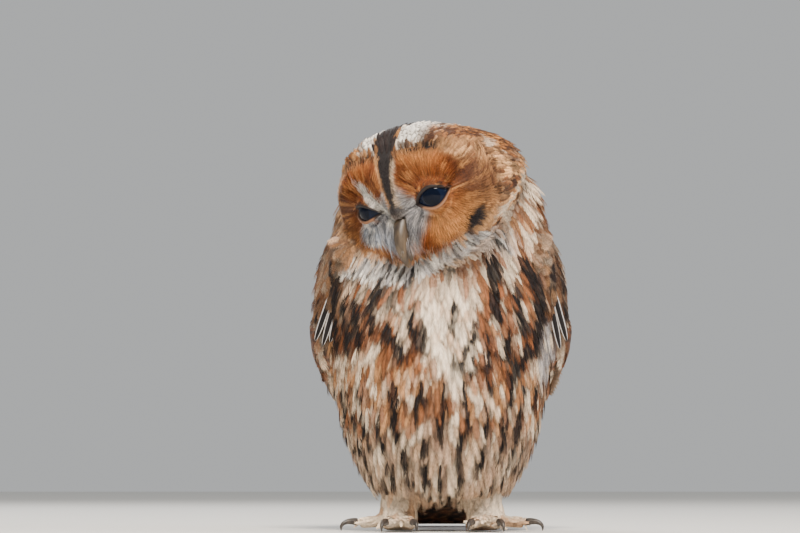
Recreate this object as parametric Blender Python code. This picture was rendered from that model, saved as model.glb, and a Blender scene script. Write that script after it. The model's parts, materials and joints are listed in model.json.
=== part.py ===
"""A tawny owl, life size, resting on its feet and tail with its head turned to its right.

The owl faces -Y, its left side is +X and +Z is up. Lengths are in millimetres until a mesh
is made, and then in metres. The feathered outline is what is modelled: each solid reaches
the tips of the feathers on it.
"""

import math

import bmesh
import bpy
from mathutils import Matrix, Vector

MM = 0.001
GAP = 0.3  # clearance between neighbouring solids
SIDES = (("left", 1), ("right", -1))  # with the sign of each side's x

# Head: an egg with a flattened face, in its own axes (x to the owl's left, -y ahead, z up).
HEAD_CENTRE = Vector((-5.2, -24.0, 205.5))
HEAD_TURN = math.radians(-35)  # to the owl's right
HEAD_NOD = math.radians(16)  # bill towards the breast
HEAD_TILT = math.radians(-8)  # left eye held higher
HEAD_HALF_WIDTH = 56.0
HEAD_HALF_HEIGHT = 44.0
CHIN_DROP = 47.5  # from the head's centre to its underside
HEAD_SQUARENESS = 2.12  # 2 is an ellipse
FACE_FLATNESS = 2.6
FACE_SETBACK = 14.0  # how far the widest section lies ahead of the head's centre
FACE_DEPTH = 30.0  # from the widest section to the front of the face
SKULL_DEPTH = 75.0  # from the widest section to the nape
SKULL_FULLNESS = 2.2
CROWN_SLOPE = 0.30  # how much lower the crown is at the nape
CHIN_TUCK = 0.45  # how much shallower the head's underside is at the nape
HEAD_SEGMENTS = 30
HEAD_RINGS = 18

# Eyes and the relief of the facial disc round them.
EYE_SIDE = 21.5
EYE_AHEAD = 29.5
EYE_HEIGHT = -3.0
EYE_RADIUS = 12.0
DISH_SIDE = 26.0
DISH_DEPTH = 7.0
DISH_SPREAD = 15.0
DISH_HEIGHT_SHARE = 0.85  # below 1, the dish is taller than wide
BROW_RIDGE = 5.0  # the ridge from the forehead down to the bill
BROW_SPREAD = 8.0
BROW_HALF_HEIGHT = 30.0
RIM_HEIGHT = 1.8
RIM_AT = 0.90  # share of the disc's radius where the ruff stands
RIM_SPREAD = 0.07

# Bill, in the head's axes.
BILL_ROOT = Vector((0.0, -36.5, -13.5))
BILL_LENGTH = 30.5
BILL_HALF_WIDTH = 5.0
BILL_HALF_DEPTH = 6.0
BILL_START = math.radians(36)  # below straight ahead
BILL_HOOK = math.radians(80)  # how far it curves over its length
BILL_TIP_SIZE = 0.07  # of its size at the root
LOWER_BILL_SHARES = (0.62, 0.8, 0.6, 0.6)  # its length, width, depth and hook, of the upper bill's
LOWER_BILL_SET = Vector((0.0, 5.0, -8.5))  # its root from the upper bill's

# Neck and trunk: sections up the body as
# (height, half width, y of the widest point, y of the front, y of the back).
NECK_FLOOR = 176.0
SECTIONS = (
    (15.0, 20.0, 5.0, -15.0, 30.0),
    (18.0, 36.0, 7.0, -30.0, 48.0),
    (28.0, 48.0, 9.0, -41.0, 70.0),
    (44.0, 56.0, 12.0, -50.0, 94.0),
    (60.0, 62.0, 14.0, -58.0, 107.0),
    (80.0, 66.0, 14.0, -63.0, 104.0),
    (102.0, 69.0, 12.0, -65.0, 94.0),
    (124.0, 70.5, 10.0, -62.0, 84.0),
    (148.0, 70.5, 8.0, -54.0, 75.0),
    (168.0, 69.0, 7.0, -44.0, 67.0),
    (184.0, 67.0, 5.0, -36.0, 60.0),
    (200.0, 63.5, 5.0, -30.0, 52.0),
    (212.0, 59.0, 6.0, -22.0, 45.0),
    (222.0, 52.0, 8.0, -10.0, 37.0),
    (230.0, 38.0, 10.0, 0.0, 27.0),
)
BREAST_SQUARENESS = 2.2  # 2 is an ellipse
BACK_SQUARENESS = 2.6
TRUNK_RINGS = 14
NECK_RINGS = 6
BODY_SEGMENTS = 30

# Left wing, folded: stations from the wrist to the tip as (leading edge, trailing edge, bulge).
WING_STATIONS = (
    ((61.0, -30.0, 168.0), (59.0, 4.0, 194.0), 2.0),
    ((70.0, -14.0, 138.0), (64.0, 42.0, 176.0), 6.5),
    ((74.5, 4.0, 104.0), (46.0, 80.0, 148.0), 12.0),
    ((64.5, 42.0, 76.0), (20.0, 103.0, 113.0), 14.0),
    ((38.0, 94.0, 52.0), (8.0, 125.0, 78.0), 7.0),
    ((22.0, 140.0, 32.0), (3.0, 151.0, 50.0), 3.0),
    ((14.0, 176.0, 14.0), (3.0, 178.0, 25.0), 0.5),
)
WING_OUTER_SKIN = 2.0  # from the stations' surface out to the wing's face
WING_THICKNESS = 15.0  # at the wrist, most of it let into the body
WING_TIP_THICKNESS = 2.6
WING_THINS_BY = 0.75  # share of the length where it is as thin as its tip
WING_RINGS = 15
WING_CHORD_POINTS = 7

# Tail: stations from the root to the tip as (y, height of the underside, half width, thickness).
TAIL_STATIONS = (
    (84.0, 42.0, 24.0, 30.0),
    (108.0, 34.0, 29.0, 22.0),
    (134.0, 22.5, 32.0, 11.0),
    (160.0, 9.5, 35.0, 5.5),
    (181.0, 0.0, 35.5, 3.8),
    (196.0, 0.0, 29.0, 2.8),
)
TAIL_ARCH = 4.0  # how much lower the tail's edges hang than its middle, near the root
TAIL_ROUNDING = 4.0  # how much shorter the outer feathers are
TAIL_SQUARENESS = 3.0
TAIL_RINGS = 11
TAIL_SEGMENTS = 20

# Legs and feet.
LEG_SIDE = 25.0
LEG_BACK = -6.0
LEG_TOP = 44.0
LEG_TOP_RADIUS = 16.0
ANKLE_HEIGHT = 10.0
ANKLE_RADIUS = 13.0
LEG_RINGS = 4
LEG_SEGMENTS = 12
PAD_RADIUS = 11.0
PAD_HEIGHT = 5.0
PAD_FLATNESS = 0.8
TOE_RADIUS = 5.2
TOE_FLAT = 0.6  # how much of each toe's underside is flattened on the ground
TOE_KNUCKLE = 1.3  # rise of the toe's middle
TOE_ROOT_RISE = 2.0
TOE_TAPER = 0.22
GROUND_BLOCK = Vector((200.0, 400.0, 20.0))  # what the feet are flattened by
# Toes as (name, direction outwards from straight ahead in degrees, length).
TOES = (
    ("inner", -14.0, 30.0),
    ("middle", 14.0, 33.0),
    ("outer", 66.0, 27.0),
    ("hind", 168.0, 20.0),
)
CLAW_REACH = 12.5
CLAW_RADIUS = 2.5
CLAW_POINT = 0.28  # radius at its tip
CLAW_START = 5.6  # height of its root
CLAW_DROP = 5.0
CLAW_ARCH = 1.6
CLAW_CURL = math.radians(105)
CLAW_INSET = 1.0  # how far it starts inside the toe

FEATHERS = {
    "rufous": ((0.36, 0.17, 0.08), 0.85),
    "buff": ((0.52, 0.36, 0.23), 0.88),
    "brown": ((0.22, 0.14, 0.09), 0.82),
    "cream": ((0.66, 0.56, 0.44), 0.90),
}
HARD_PARTS = {
    "eye": ((0.012, 0.014, 0.022), 0.05),
    "horn": ((0.42, 0.34, 0.17), 0.35),
    "claw": ((0.06, 0.05, 0.045), 0.30),
}


def make_material(name, colour, roughness):
    material = bpy.data.materials.new(name)
    material.use_nodes = True
    shader = material.node_tree.nodes["Principled BSDF"]
    shader.inputs["Base Color"].default_value = (*colour, 1.0)
    shader.inputs["Roughness"].default_value = roughness
    shader.inputs["Metallic"].default_value = 0.0
    return material


def clear_scene():
    for obj in list(bpy.data.objects):
        bpy.data.objects.remove(obj)


def make_collection(name):
    collection = bpy.data.collections.new(name)
    bpy.context.scene.collection.children.link(collection)
    return collection


def add_object(name, mesh, collection, material=None):
    obj = bpy.data.objects.new(name, mesh)
    collection.objects.link(obj)
    if material:
        mesh.materials.append(material)
    mesh.shade_smooth()
    return obj


def finish_mesh(name, bm):
    """Turns a bmesh in millimetres into a mesh in metres with its faces pointing out."""
    bmesh.ops.triangulate(bm, faces=bm.faces)  # so that a grown copy creases along the same lines
    bmesh.ops.recalc_face_normals(bm, faces=bm.faces)
    bmesh.ops.scale(bm, vec=(MM, MM, MM), verts=bm.verts)
    mesh = bpy.data.meshes.new(name)
    bm.to_mesh(mesh)
    bm.free()
    return mesh


def smooth_between(rows, place):
    """Reads a table of stations at place, from 0 to 1 along it, on a smooth curve."""
    at = max(0.0, min(1.0, place)) * (len(rows) - 1)
    i = min(int(at), len(rows) - 2)
    t = at - i
    before, start, end, after = (
        rows[max(i - 1, 0)], rows[i], rows[i + 1], rows[min(i + 2, len(rows) - 1)],
    )
    return [
        0.5 * (2 * b + (c - a) * t + (2 * a - 5 * b + 4 * c - d) * t**2 + (3 * b - a - 3 * c + d) * t**3)
        for a, b, c, d in zip(before, start, end, after)
    ]


def loft(name, rings):
    """A closed mesh through rings of equal numbers of points, with a cap at each end."""
    bm = bmesh.new()
    rows = [[bm.verts.new(p) for p in ring] for ring in rings]
    count = len(rows[0])
    for low, high in zip(rows, rows[1:]):
        for i in range(count):
            j = (i + 1) % count
            bm.faces.new((low[i], low[j], high[j], high[i]))
    for row in (rows[0], rows[-1]):
        middle = bm.verts.new(sum((v.co for v in row), Vector()) / count)
        for i in range(count):
            bm.faces.new((row[i], row[(i + 1) % count], middle))
    return finish_mesh(name, bm)


def superellipse(angle, squareness):
    """A point on a squarish unit circle."""
    x, y = math.cos(angle), math.sin(angle)
    power = 2 / squareness
    return math.copysign(abs(x) ** power, x), math.copysign(abs(y) ** power, y)


# Head ---------------------------------------------------------------------------------------


def fullness(out, power):
    """Height of a squarish dome, 1 at its middle and 0 at its rim, where out is 1."""
    return max(0.0, 1 - out**power) ** (1 / power)


def head_matrix():
    turn = Matrix.Rotation(HEAD_TURN, 4, "Z")
    nod = Matrix.Rotation(HEAD_NOD, 4, "X")
    tilt = Matrix.Rotation(HEAD_TILT, 4, "Y")
    return Matrix.Translation(HEAD_CENTRE * MM) @ turn @ nod @ tilt


def face_relief(x, z):
    """How far the face stands ahead of the plain egg at side x and height z."""
    radius = math.hypot(x / HEAD_HALF_WIDTH, z / HEAD_HALF_HEIGHT)
    inside = max(0.0, 1 - radius**6)
    from_eye = math.hypot(abs(x) - DISH_SIDE, (z - EYE_HEIGHT) * DISH_HEIGHT_SHARE)
    dish = DISH_DEPTH * math.exp(-((from_eye / DISH_SPREAD) ** 2))
    ridge = BROW_RIDGE * math.exp(-((x / BROW_SPREAD) ** 2) - (z / BROW_HALF_HEIGHT) ** 4)
    rim = RIM_HEIGHT * math.exp(-(((radius - RIM_AT) / RIM_SPREAD) ** 2))
    return inside * (ridge - dish) + rim


def make_head_mesh():
    bm = bmesh.new()
    bmesh.ops.create_uvsphere(bm, u_segments=HEAD_SEGMENTS, v_segments=HEAD_RINGS, radius=1.0)
    bmesh.ops.rotate(bm, matrix=Matrix.Rotation(math.radians(90), 3, "X"), verts=bm.verts)
    for vert in bm.verts:
        side, back, up = vert.co
        out = math.hypot(side, up)
        square = (abs(side) ** HEAD_SQUARENESS + abs(up) ** HEAD_SQUARENESS) ** (1 / HEAD_SQUARENESS)
        swell = out / square if square else 1.0
        x = side * swell * HEAD_HALF_WIDTH
        z = up * swell * (HEAD_HALF_HEIGHT if up > 0 else CHIN_DROP)
        if back < 0:
            ahead = FACE_SETBACK + FACE_DEPTH * fullness(out, FACE_FLATNESS) + face_relief(x, z)
        else:
            reach = fullness(out, SKULL_FULLNESS)
            ahead = FACE_SETBACK - reach * SKULL_DEPTH
            z *= 1 - reach * (CROWN_SLOPE if z > 0 else CHIN_TUCK)
        vert.co = (x, -ahead, z)
    return finish_mesh("head", bm)


def make_ball(name, centre, radius, segments=16, rings=10, flatten=1.0):
    bm = bmesh.new()
    bmesh.ops.create_uvsphere(bm, u_segments=segments, v_segments=rings, radius=radius)
    bmesh.ops.scale(bm, vec=(1.0, 1.0, flatten), verts=bm.verts)
    bmesh.ops.translate(bm, vec=centre, verts=bm.verts)
    return finish_mesh(name, bm)


def bill_rings(length, half_width, half_depth, root, hook, rings=8, segments=12):
    """Sections down a bill that curves by hook radians from pointing ahead to pointing down."""
    made, spot = [], Vector(root)
    for i in range(rings):
        along = i / (rings - 1)
        angle = BILL_START + hook * along
        heading = Vector((0, -math.cos(angle), -math.sin(angle)))
        above = Vector((0, -math.sin(angle), math.cos(angle)))
        size = (1 - along**1.7) ** 0.75 + BILL_TIP_SIZE
        made.append([
            spot
            + Vector((1, 0, 0)) * (half_width * size * math.cos(2 * math.pi * k / segments))
            + above * (half_depth * size * math.sin(2 * math.pi * k / segments))
            for k in range(segments)
        ])
        spot += heading * (length / (rings - 1))
    return made


# Body ---------------------------------------------------------------------------------------


def section_at(height):
    """The trunk's section at a height, read on a smooth curve through SECTIONS."""
    heights = [row[0] for row in SECTIONS]
    i = max(k for k in range(len(heights) - 1) if heights[k] <= height)
    share = (height - heights[i]) / (heights[i + 1] - heights[i])
    return smooth_between([row[1:] for row in SECTIONS], (i + share) / (len(heights) - 1))


def body_ring(height):
    half_width, middle, front, back = section_at(height)
    ring = []
    for k in range(BODY_SEGMENTS):
        angle = 2 * math.pi * k / BODY_SEGMENTS
        squareness = BACK_SQUARENESS if angle < math.pi else BREAST_SQUARENESS
        x, y = superellipse(angle, squareness)
        reach = back - middle if y > 0 else middle - front
        ring.append(Vector((half_width * x, middle + reach * y, height)))
    return ring


def body_rings(low, high, count):
    return [body_ring(low + (high - low) * i / (count - 1)) for i in range(count)]


def wing_rings():
    """Closed sections along the folded left wing: its outer face, then back along its inner face."""
    table = [(*lead, *trail, bulge) for lead, trail, bulge in WING_STATIONS]
    rings = []
    for i in range(WING_RINGS):
        along = i / (WING_RINGS - 1)
        row = smooth_between(table, along)
        lead, trail, bulge = Vector(row[0:3]), Vector(row[3:6]), row[6]
        chord = trail - lead
        run = Vector(smooth_between(table, along + 0.01)[0:3]) - Vector(
            smooth_between(table, along - 0.01)[0:3]
        )
        outward = chord.cross(run).normalized()
        if outward.x < 0:
            outward.negate()
        thinning = min(1.0, along / WING_THINS_BY)
        thickness = WING_THICKNESS + (WING_TIP_THICKNESS - WING_THICKNESS) * thinning
        outer_skin = min(WING_OUTER_SKIN, thickness / 2)
        outer, inner = [], []
        for k in range(WING_CHORD_POINTS):
            across = k / (WING_CHORD_POINTS - 1)
            rounding = math.sqrt(max(0.0, 1 - (2 * across - 1) ** 4))
            spot = lead + chord * across + outward * bulge * 4 * across * (1 - across)
            outer.append(spot + outward * outer_skin * rounding)
            inner.append(spot - outward * (thickness - outer_skin) * rounding)
        rings.append(outer + inner[-2:0:-1])
    return rings


def mirrored(rings):
    return [[Vector((-p.x, p.y, p.z)) for p in ring] for ring in rings]


def tail_rings():
    rings = []
    for i in range(TAIL_RINGS):
        along = i / (TAIL_RINGS - 1)
        y, low, half_width, thickness = smooth_between(TAIL_STATIONS, along)
        low = max(low, 0.0)
        ring = []
        for k in range(TAIL_SEGMENTS):
            x, z = superellipse(2 * math.pi * k / TAIL_SEGMENTS, TAIL_SQUARENESS)
            droop = TAIL_ARCH * (1 - along) * x * x
            height = low + thickness * (0.5 + 0.5 * z) + TAIL_ARCH * (1 - along) - droop
            ring.append(Vector((half_width * x, y - TAIL_ROUNDING * x * x * along, height)))
        rings.append(ring)
    return rings


# Legs and feet ------------------------------------------------------------------------------


def leg_rings(side):
    rings = []
    for i in range(LEG_RINGS):
        along = i / (LEG_RINGS - 1)
        height = LEG_TOP + (ANKLE_HEIGHT - LEG_TOP) * along
        radius = LEG_TOP_RADIUS + (ANKLE_RADIUS - LEG_TOP_RADIUS) * along**0.7
        rings.append([
            Vector((
                side * LEG_SIDE + radius * math.cos(2 * math.pi * k / LEG_SEGMENTS),
                LEG_BACK + radius * math.sin(2 * math.pi * k / LEG_SEGMENTS),
                height,
            ))
            for k in range(LEG_SEGMENTS)
        ])
    return rings


def toe_heading(side, outward_degrees):
    angle = math.radians(outward_degrees)
    return Vector((side * math.sin(angle), -math.cos(angle), 0.0))


def add_tube(name, spots, radii, collection, resolution):
    """A tube along a smooth path with its own radius at each point, made a mesh."""
    curve = bpy.data.curves.new(name, "CURVE")
    curve.dimensions = "3D"
    curve.bevel_depth = MM
    curve.bevel_resolution = resolution
    curve.use_fill_caps = True
    spline = curve.splines.new("POLY")
    spline.points.add(len(spots) - 1)
    for point, spot, radius in zip(spline.points, spots, radii):
        point.co = (*(Vector(spot) * MM), 1.0)
        point.radius = radius
    guide = bpy.data.objects.new(name + "_path", curve)
    collection.objects.link(guide)
    bpy.context.view_layer.update()
    evaluated = guide.evaluated_get(bpy.context.evaluated_depsgraph_get())
    mesh = bpy.data.meshes.new_from_object(evaluated)
    bpy.data.objects.remove(guide)
    bm = bmesh.new()
    bm.from_mesh(mesh)
    bmesh.ops.remove_doubles(bm, verts=bm.verts, dist=1e-5)
    bmesh.ops.recalc_face_normals(bm, faces=bm.faces)
    bm.to_mesh(mesh)
    bm.free()
    return mesh


def toe_spots(side, outward_degrees, length, count=7):
    """A toe's middle line, from inside the ankle over a low knuckle to its end."""
    heading = toe_heading(side, outward_degrees)
    root = Vector((side * LEG_SIDE, LEG_BACK, 0.0))
    spots, radii = [], []
    for i in range(count):
        along = i / (count - 1)
        knuckle = TOE_KNUCKLE * math.sin(math.pi * along)
        height = TOE_RADIUS - TOE_FLAT + knuckle + TOE_ROOT_RISE * (1 - along) ** 3
        spots.append(root + heading * length * along + Vector((0, 0, height)))
        radii.append(TOE_RADIUS * (1 - TOE_TAPER * along**2))
    return spots, radii


def claw_spots(side, outward_degrees, toe_length, count=6):
    """A claw's middle line: out of the toe's end, over, and down to the ground."""
    heading = toe_heading(side, outward_degrees)
    start = Vector((side * LEG_SIDE, LEG_BACK, CLAW_START)) + heading * (toe_length - CLAW_INSET)
    spots, radii = [], []
    for i in range(count):
        along = i / (count - 1)
        turn = CLAW_CURL * along
        arch = CLAW_ARCH * math.sin(math.pi * along)
        drop = CLAW_DROP * (1 - math.cos(turn)) / (1 - math.cos(CLAW_CURL))
        spots.append(start + heading * CLAW_REACH * math.sin(turn) + Vector((0, 0, arch - drop)))
        radii.append(CLAW_RADIUS * (1 - along) ** 0.8 + CLAW_POINT)
    return spots, radii


# Joining and parting ------------------------------------------------------------------------


def add_boolean(target, other, operation):
    modifier = target.modifiers.new(f"{operation.lower()}_{other.name}", "BOOLEAN")
    modifier.operation = operation
    modifier.object = other
    modifier.solver = "EXACT"
    return modifier


def hide_as_cutter(obj):
    obj.hide_render = True
    obj.display_type = "WIRE"


def grown_copy(obj, cutters, gap=GAP):
    """A hidden copy of obj whose surface stands off by gap, to cut its neighbours with."""
    copy = obj.copy()
    copy.data = obj.data.copy()
    copy.name = obj.name + "_clearance"
    cutters.objects.link(copy)
    displace = copy.modifiers.new("clearance", "DISPLACE")
    displace.strength = gap * MM
    displace.mid_level = 0.0
    hide_as_cutter(copy)
    return copy


def add_ground_cutter(cutters):
    bm = bmesh.new()
    bmesh.ops.create_cube(bm, size=1.0)
    bmesh.ops.scale(bm, vec=GROUND_BLOCK, verts=bm.verts)
    bmesh.ops.translate(bm, vec=(0.0, 0.0, -GROUND_BLOCK.z / 2), verts=bm.verts)
    cutter = add_object("ground", finish_mesh("ground", bm), cutters)
    hide_as_cutter(cutter)
    return cutter


def build_foot(side_name, side, owl, cutters, material, claw_material, ground):
    """One foot, a single solid of ankle pad and toes, with its claws. Returns what cuts its leg clear."""
    middle = Vector((side * LEG_SIDE, LEG_BACK, PAD_HEIGHT))
    pad = make_ball("pad", middle, PAD_RADIUS, flatten=PAD_FLATNESS)
    foot = add_object(f"foot_{side_name}", pad, owl, material)
    clearances = [grown_copy(foot, cutters)]
    for toe, outward, length in TOES:
        spots, radii = toe_spots(side, outward, length)
        tube = add_object(f"toe_{side_name}_{toe}", add_tube("toe", spots, radii, cutters, 2), cutters)
        hide_as_cutter(tube)
        add_boolean(foot, tube, "UNION")
        clearances.append(grown_copy(tube, cutters))
        spots, radii = claw_spots(side, outward, length)
        mesh = add_tube("claw", spots, radii, cutters, 1)
        claw = add_object(f"claw_{side_name}_{toe}", mesh, owl, claw_material)
        add_boolean(claw, clearances[-1], "DIFFERENCE")
        add_boolean(claw, ground, "DIFFERENCE")
    add_boolean(foot, ground, "DIFFERENCE")
    return clearances


def centre_on_origin(owl):
    """Moves the owl so that the middle of its bounding box's underside is the origin."""
    bpy.context.view_layer.update()
    graph = bpy.context.evaluated_depsgraph_get()
    points = []
    for obj in owl.objects:
        evaluated = obj.evaluated_get(graph)
        points += [evaluated.matrix_world @ v.co for v in evaluated.data.vertices]
    low = Vector([min(p[i] for p in points) for i in range(3)])
    high = Vector([max(p[i] for p in points) for i in range(3)])
    shift = Matrix.Translation(Vector((-(low.x + high.x) / 2, -(low.y + high.y) / 2, -low.z)))
    for obj in bpy.data.objects:
        obj.matrix_world = shift @ obj.matrix_world


def build_head(owl, cutters, made):
    """The head with its eyes and bill let into it. Returns what cuts the body clear of the head."""
    head = add_object("head", make_head_mesh(), owl, made["rufous"])
    set_in = []
    for name, side in SIDES:
        ball = make_ball("eye", Vector((side * EYE_SIDE, -EYE_AHEAD, EYE_HEIGHT)), EYE_RADIUS)
        set_in.append(add_object(f"eye_{name}", ball, owl, made["eye"]))
    rings = bill_rings(BILL_LENGTH, BILL_HALF_WIDTH, BILL_HALF_DEPTH, BILL_ROOT, BILL_HOOK)
    upper = add_object("bill_upper", loft("bill_upper", rings), owl, made["horn"])
    length, width, depth, hook = LOWER_BILL_SHARES
    rings = bill_rings(
        BILL_LENGTH * length, BILL_HALF_WIDTH * width, BILL_HALF_DEPTH * depth,
        BILL_ROOT + LOWER_BILL_SET, BILL_HOOK * hook,
    )
    lower = add_object("bill_lower", loft("bill_lower", rings), owl, made["horn"])
    set_in += [upper, lower]
    for obj in (head, *set_in):
        obj.matrix_world = head_matrix()
    head_clearance = grown_copy(head, cutters)
    for obj in set_in:
        add_boolean(head, grown_copy(obj, cutters), "DIFFERENCE")
    add_boolean(lower, grown_copy(upper, cutters), "DIFFERENCE")
    return head_clearance


def build_legs(owl, cutters, made):
    """Both legs on their feet. Returns what cuts the trunk clear of the legs."""
    ground = add_ground_cutter(cutters)
    leg_clearances = []
    for name, side in SIDES:
        leg = add_object(f"leg_{name}", loft(f"leg_{name}", leg_rings(side)), owl, made["cream"])
        leg_clearances.append(grown_copy(leg, cutters))
        for clearance in build_foot(name, side, owl, cutters, made["cream"], made["claw"], ground):
            add_boolean(leg, clearance, "DIFFERENCE")
    return leg_clearances


def build_wings(owl, material):
    left = wing_rings()
    rings_by_side = {"left": left, "right": mirrored(left)}
    return [
        add_object(f"wing_{name}", loft(f"wing_{name}", rings), owl, material)
        for name, rings in rings_by_side.items()
    ]


def build_body(owl, cutters, made, head_clearance, leg_clearances):
    """Neck, trunk, wings and tail, each cut clear of what lies against it."""
    wings = build_wings(owl, made["brown"])
    wing_clearances = [grown_copy(wing, cutters) for wing in wings]
    tail = add_object("tail", loft("tail", tail_rings()), owl, made["brown"])
    tail_clearance = grown_copy(tail, cutters)
    neck_rings = body_rings(NECK_FLOOR + GAP, SECTIONS[-1][0], NECK_RINGS)
    neck = add_object("neck", loft("neck", neck_rings), owl, made["buff"])
    trunk_rings = body_rings(SECTIONS[0][0], NECK_FLOOR, TRUNK_RINGS)
    trunk = add_object("trunk", loft("trunk", trunk_rings), owl, made["buff"])
    cuts = (
        (neck, (*wing_clearances, head_clearance)),
        (trunk, (*wing_clearances, head_clearance, *leg_clearances, tail_clearance)),
        (tail, wing_clearances),
        (wings[0], (head_clearance,)),
        (wings[1], (head_clearance,)),
    )
    for obj, clearances in cuts:
        for clearance in clearances:
            add_boolean(obj, clearance, "DIFFERENCE")


def main():
    clear_scene()
    owl = make_collection("tawny_owl")
    cutters = make_collection("cutters")
    made = {name: make_material(name, *look) for name, look in {**FEATHERS, **HARD_PARTS}.items()}
    head_clearance = build_head(owl, cutters, made)
    leg_clearances = build_legs(owl, cutters, made)
    build_body(owl, cutters, made, head_clearance, leg_clearances)
    centre_on_origin(owl)


main()
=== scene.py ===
# %% [markdown]
# # A tawny owl, life size
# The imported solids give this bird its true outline, out to the feather tips. Here it gets what the
# eye sees: a skin that lies inside the solids, eyelids, wet eyes, a horn bill and claws, and a coat
# of real mesh feathers. The meshes are in metres, in the same frame as the solids, and the working
# below is mostly in millimetres.

# %% Load the frame and keep its box
import json
import math

import bmesh
import bpy
import numpy as np
from mathutils import Matrix, Vector, noise
from mathutils.bvhtree import BVHTree


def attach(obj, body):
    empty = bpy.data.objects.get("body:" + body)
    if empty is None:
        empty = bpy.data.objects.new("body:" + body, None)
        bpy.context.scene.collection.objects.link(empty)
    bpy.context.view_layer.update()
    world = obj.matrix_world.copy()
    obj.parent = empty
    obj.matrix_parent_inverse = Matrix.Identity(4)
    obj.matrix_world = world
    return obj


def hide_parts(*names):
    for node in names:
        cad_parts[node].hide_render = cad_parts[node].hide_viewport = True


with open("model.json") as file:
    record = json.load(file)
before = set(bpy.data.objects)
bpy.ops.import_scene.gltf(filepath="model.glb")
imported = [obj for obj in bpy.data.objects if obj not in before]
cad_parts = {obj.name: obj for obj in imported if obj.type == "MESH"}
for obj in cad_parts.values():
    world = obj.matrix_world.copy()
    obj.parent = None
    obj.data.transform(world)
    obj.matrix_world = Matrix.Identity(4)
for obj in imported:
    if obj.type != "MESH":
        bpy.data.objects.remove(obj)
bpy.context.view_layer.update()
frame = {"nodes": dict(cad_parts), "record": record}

MM = 0.001
SIDES = (("left", 1), ("right", -1))

# %% [markdown]
# ## Small helpers
# Colours are written as sRGB hex codes, as a painter would note them, and one function turns them
# into the linear values that Blender renders with. Another adds any node, with its settings and its
# links, so that the trees below read from top to bottom. The rest are soft steps, hills and noise.


# %% Colours and nodes
def colour(code):
    """An sRGB hex code as linear red, green and blue."""
    parts = [int(code[i:i + 2], 16) / 255 for i in (1, 3, 5)]
    return np.array([c / 12.92 if c <= 0.04045 else ((c + 0.055) / 1.055) ** 2.4 for c in parts])


def add(tree, kind, inputs=None, **settings):
    """Adds a node. Inputs are keyed by socket identifier and hold a value or the socket to link from."""
    node = tree.nodes.new(kind)
    for name, value in settings.items():
        setattr(node, name, value)
    for key, value in (inputs or {}).items():
        socket = next(s for s in node.inputs if s.identifier == key)
        if isinstance(value, bpy.types.NodeSocket):
            tree.links.new(value, socket)
        else:
            socket.default_value = value
    return node


def product(tree, a, b):
    """A value multiplied by another, each a number or a socket."""
    return add(tree, "ShaderNodeMath", {"Value": a, "Value_001": b}, operation="MULTIPLY").outputs[0]


def larger(tree, a, b):
    """The larger of two values, each a number or a socket."""
    return add(tree, "ShaderNodeMath", {"Value": a, "Value_001": b}, operation="MAXIMUM").outputs[0]


def new_material(name):
    """A new material, its node tree and its shader."""
    material = bpy.data.materials.new(name)
    material.use_nodes = True
    tree = material.node_tree
    return material, tree, tree.nodes["Principled BSDF"]


def smooth(x, low, high):
    """Rises softly from 0 at low to 1 at high."""
    t = np.clip((x - low) / (high - low), 0, 1)
    return t * t * (3 - 2 * t)


def near(x, centre, width):
    """A soft hill, 1 at the centre."""
    return np.exp(-(((x - centre) / width) ** 2))


def mix(a, b, share):
    """Goes from a to b by a share that differs from point to point."""
    return a + (np.asarray(b) - a) * np.asarray(share)[..., None]


def mottle(points, size, stretch=(1, 1, 1), seed=0.0):
    """Soft noise from about -1 to 1, with lumps of the given size in millimetres."""
    scaled = points / (size * np.array(stretch)) + 17.3 + seed
    return np.array([noise.noise(Vector(p)) for p in scaled]) * 1.7


def unit(vectors):
    return vectors / np.maximum(np.linalg.norm(vectors, axis=-1, keepdims=True), 1e-9)


# %% [markdown]
# ## Where things are
# The two ankle mounts give the bird's upright axis, and the middles of the eye solids give the head.
# The head is turned to the owl's right, nods forward a little and leans, so positions on the face are
# given in the head's own directions: x to the owl's left, minus y ahead, z up, all in millimetres.

# %% Body and head directions
HEAD_TURN = math.radians(-35)
HEAD_NOD = math.radians(16)
HEAD_TILT = math.radians(-8)
EYE_SIDE = 21.5
EYE_AHEAD = 29.5
EYE_HEIGHT = -3.0
EYE_RADIUS = 12.0
ANKLES_AHEAD = 6.0

turned = (
    Matrix.Rotation(HEAD_TURN, 3, "Z") @ Matrix.Rotation(HEAD_NOD, 3, "X")
    @ Matrix.Rotation(HEAD_TILT, 3, "Y")
)
HEAD_AXES = np.array(turned)
ankles = [Vector(m["pos_m"]) for m in frame["record"]["mounts"]]
HOME = np.array([0, (ankles[0].y + ankles[1].y) / 2 + ANKLES_AHEAD * MM, 0]) / MM


def node_points(name):
    """A solid's corners in millimetres."""
    mesh = frame["nodes"][name].data
    found = np.empty(len(mesh.vertices) * 3)
    mesh.vertices.foreach_get("co", found)
    return found.reshape(-1, 3) / MM


EYES = {side: node_points(f"eye_{name}").mean(0) for name, side in SIDES}
HEAD = (EYES[1] + EYES[-1]) / 2 - HEAD_AXES @ np.array([0, -EYE_AHEAD, EYE_HEIGHT])
print("body axis at", HOME.round(1), "head at", (HEAD - HOME).round(1), "mm")

# %% [markdown]
# ## Camera, floor and light
# The camera stands just above the floor and looks up a little, from far enough away that the bird
# keeps its true proportions. The floor is plain and pale, and the light is a soft studio set-up: a
# key lamp from above the camera, a weaker fill to one side, a rim lamp behind and a pale surround.

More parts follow.
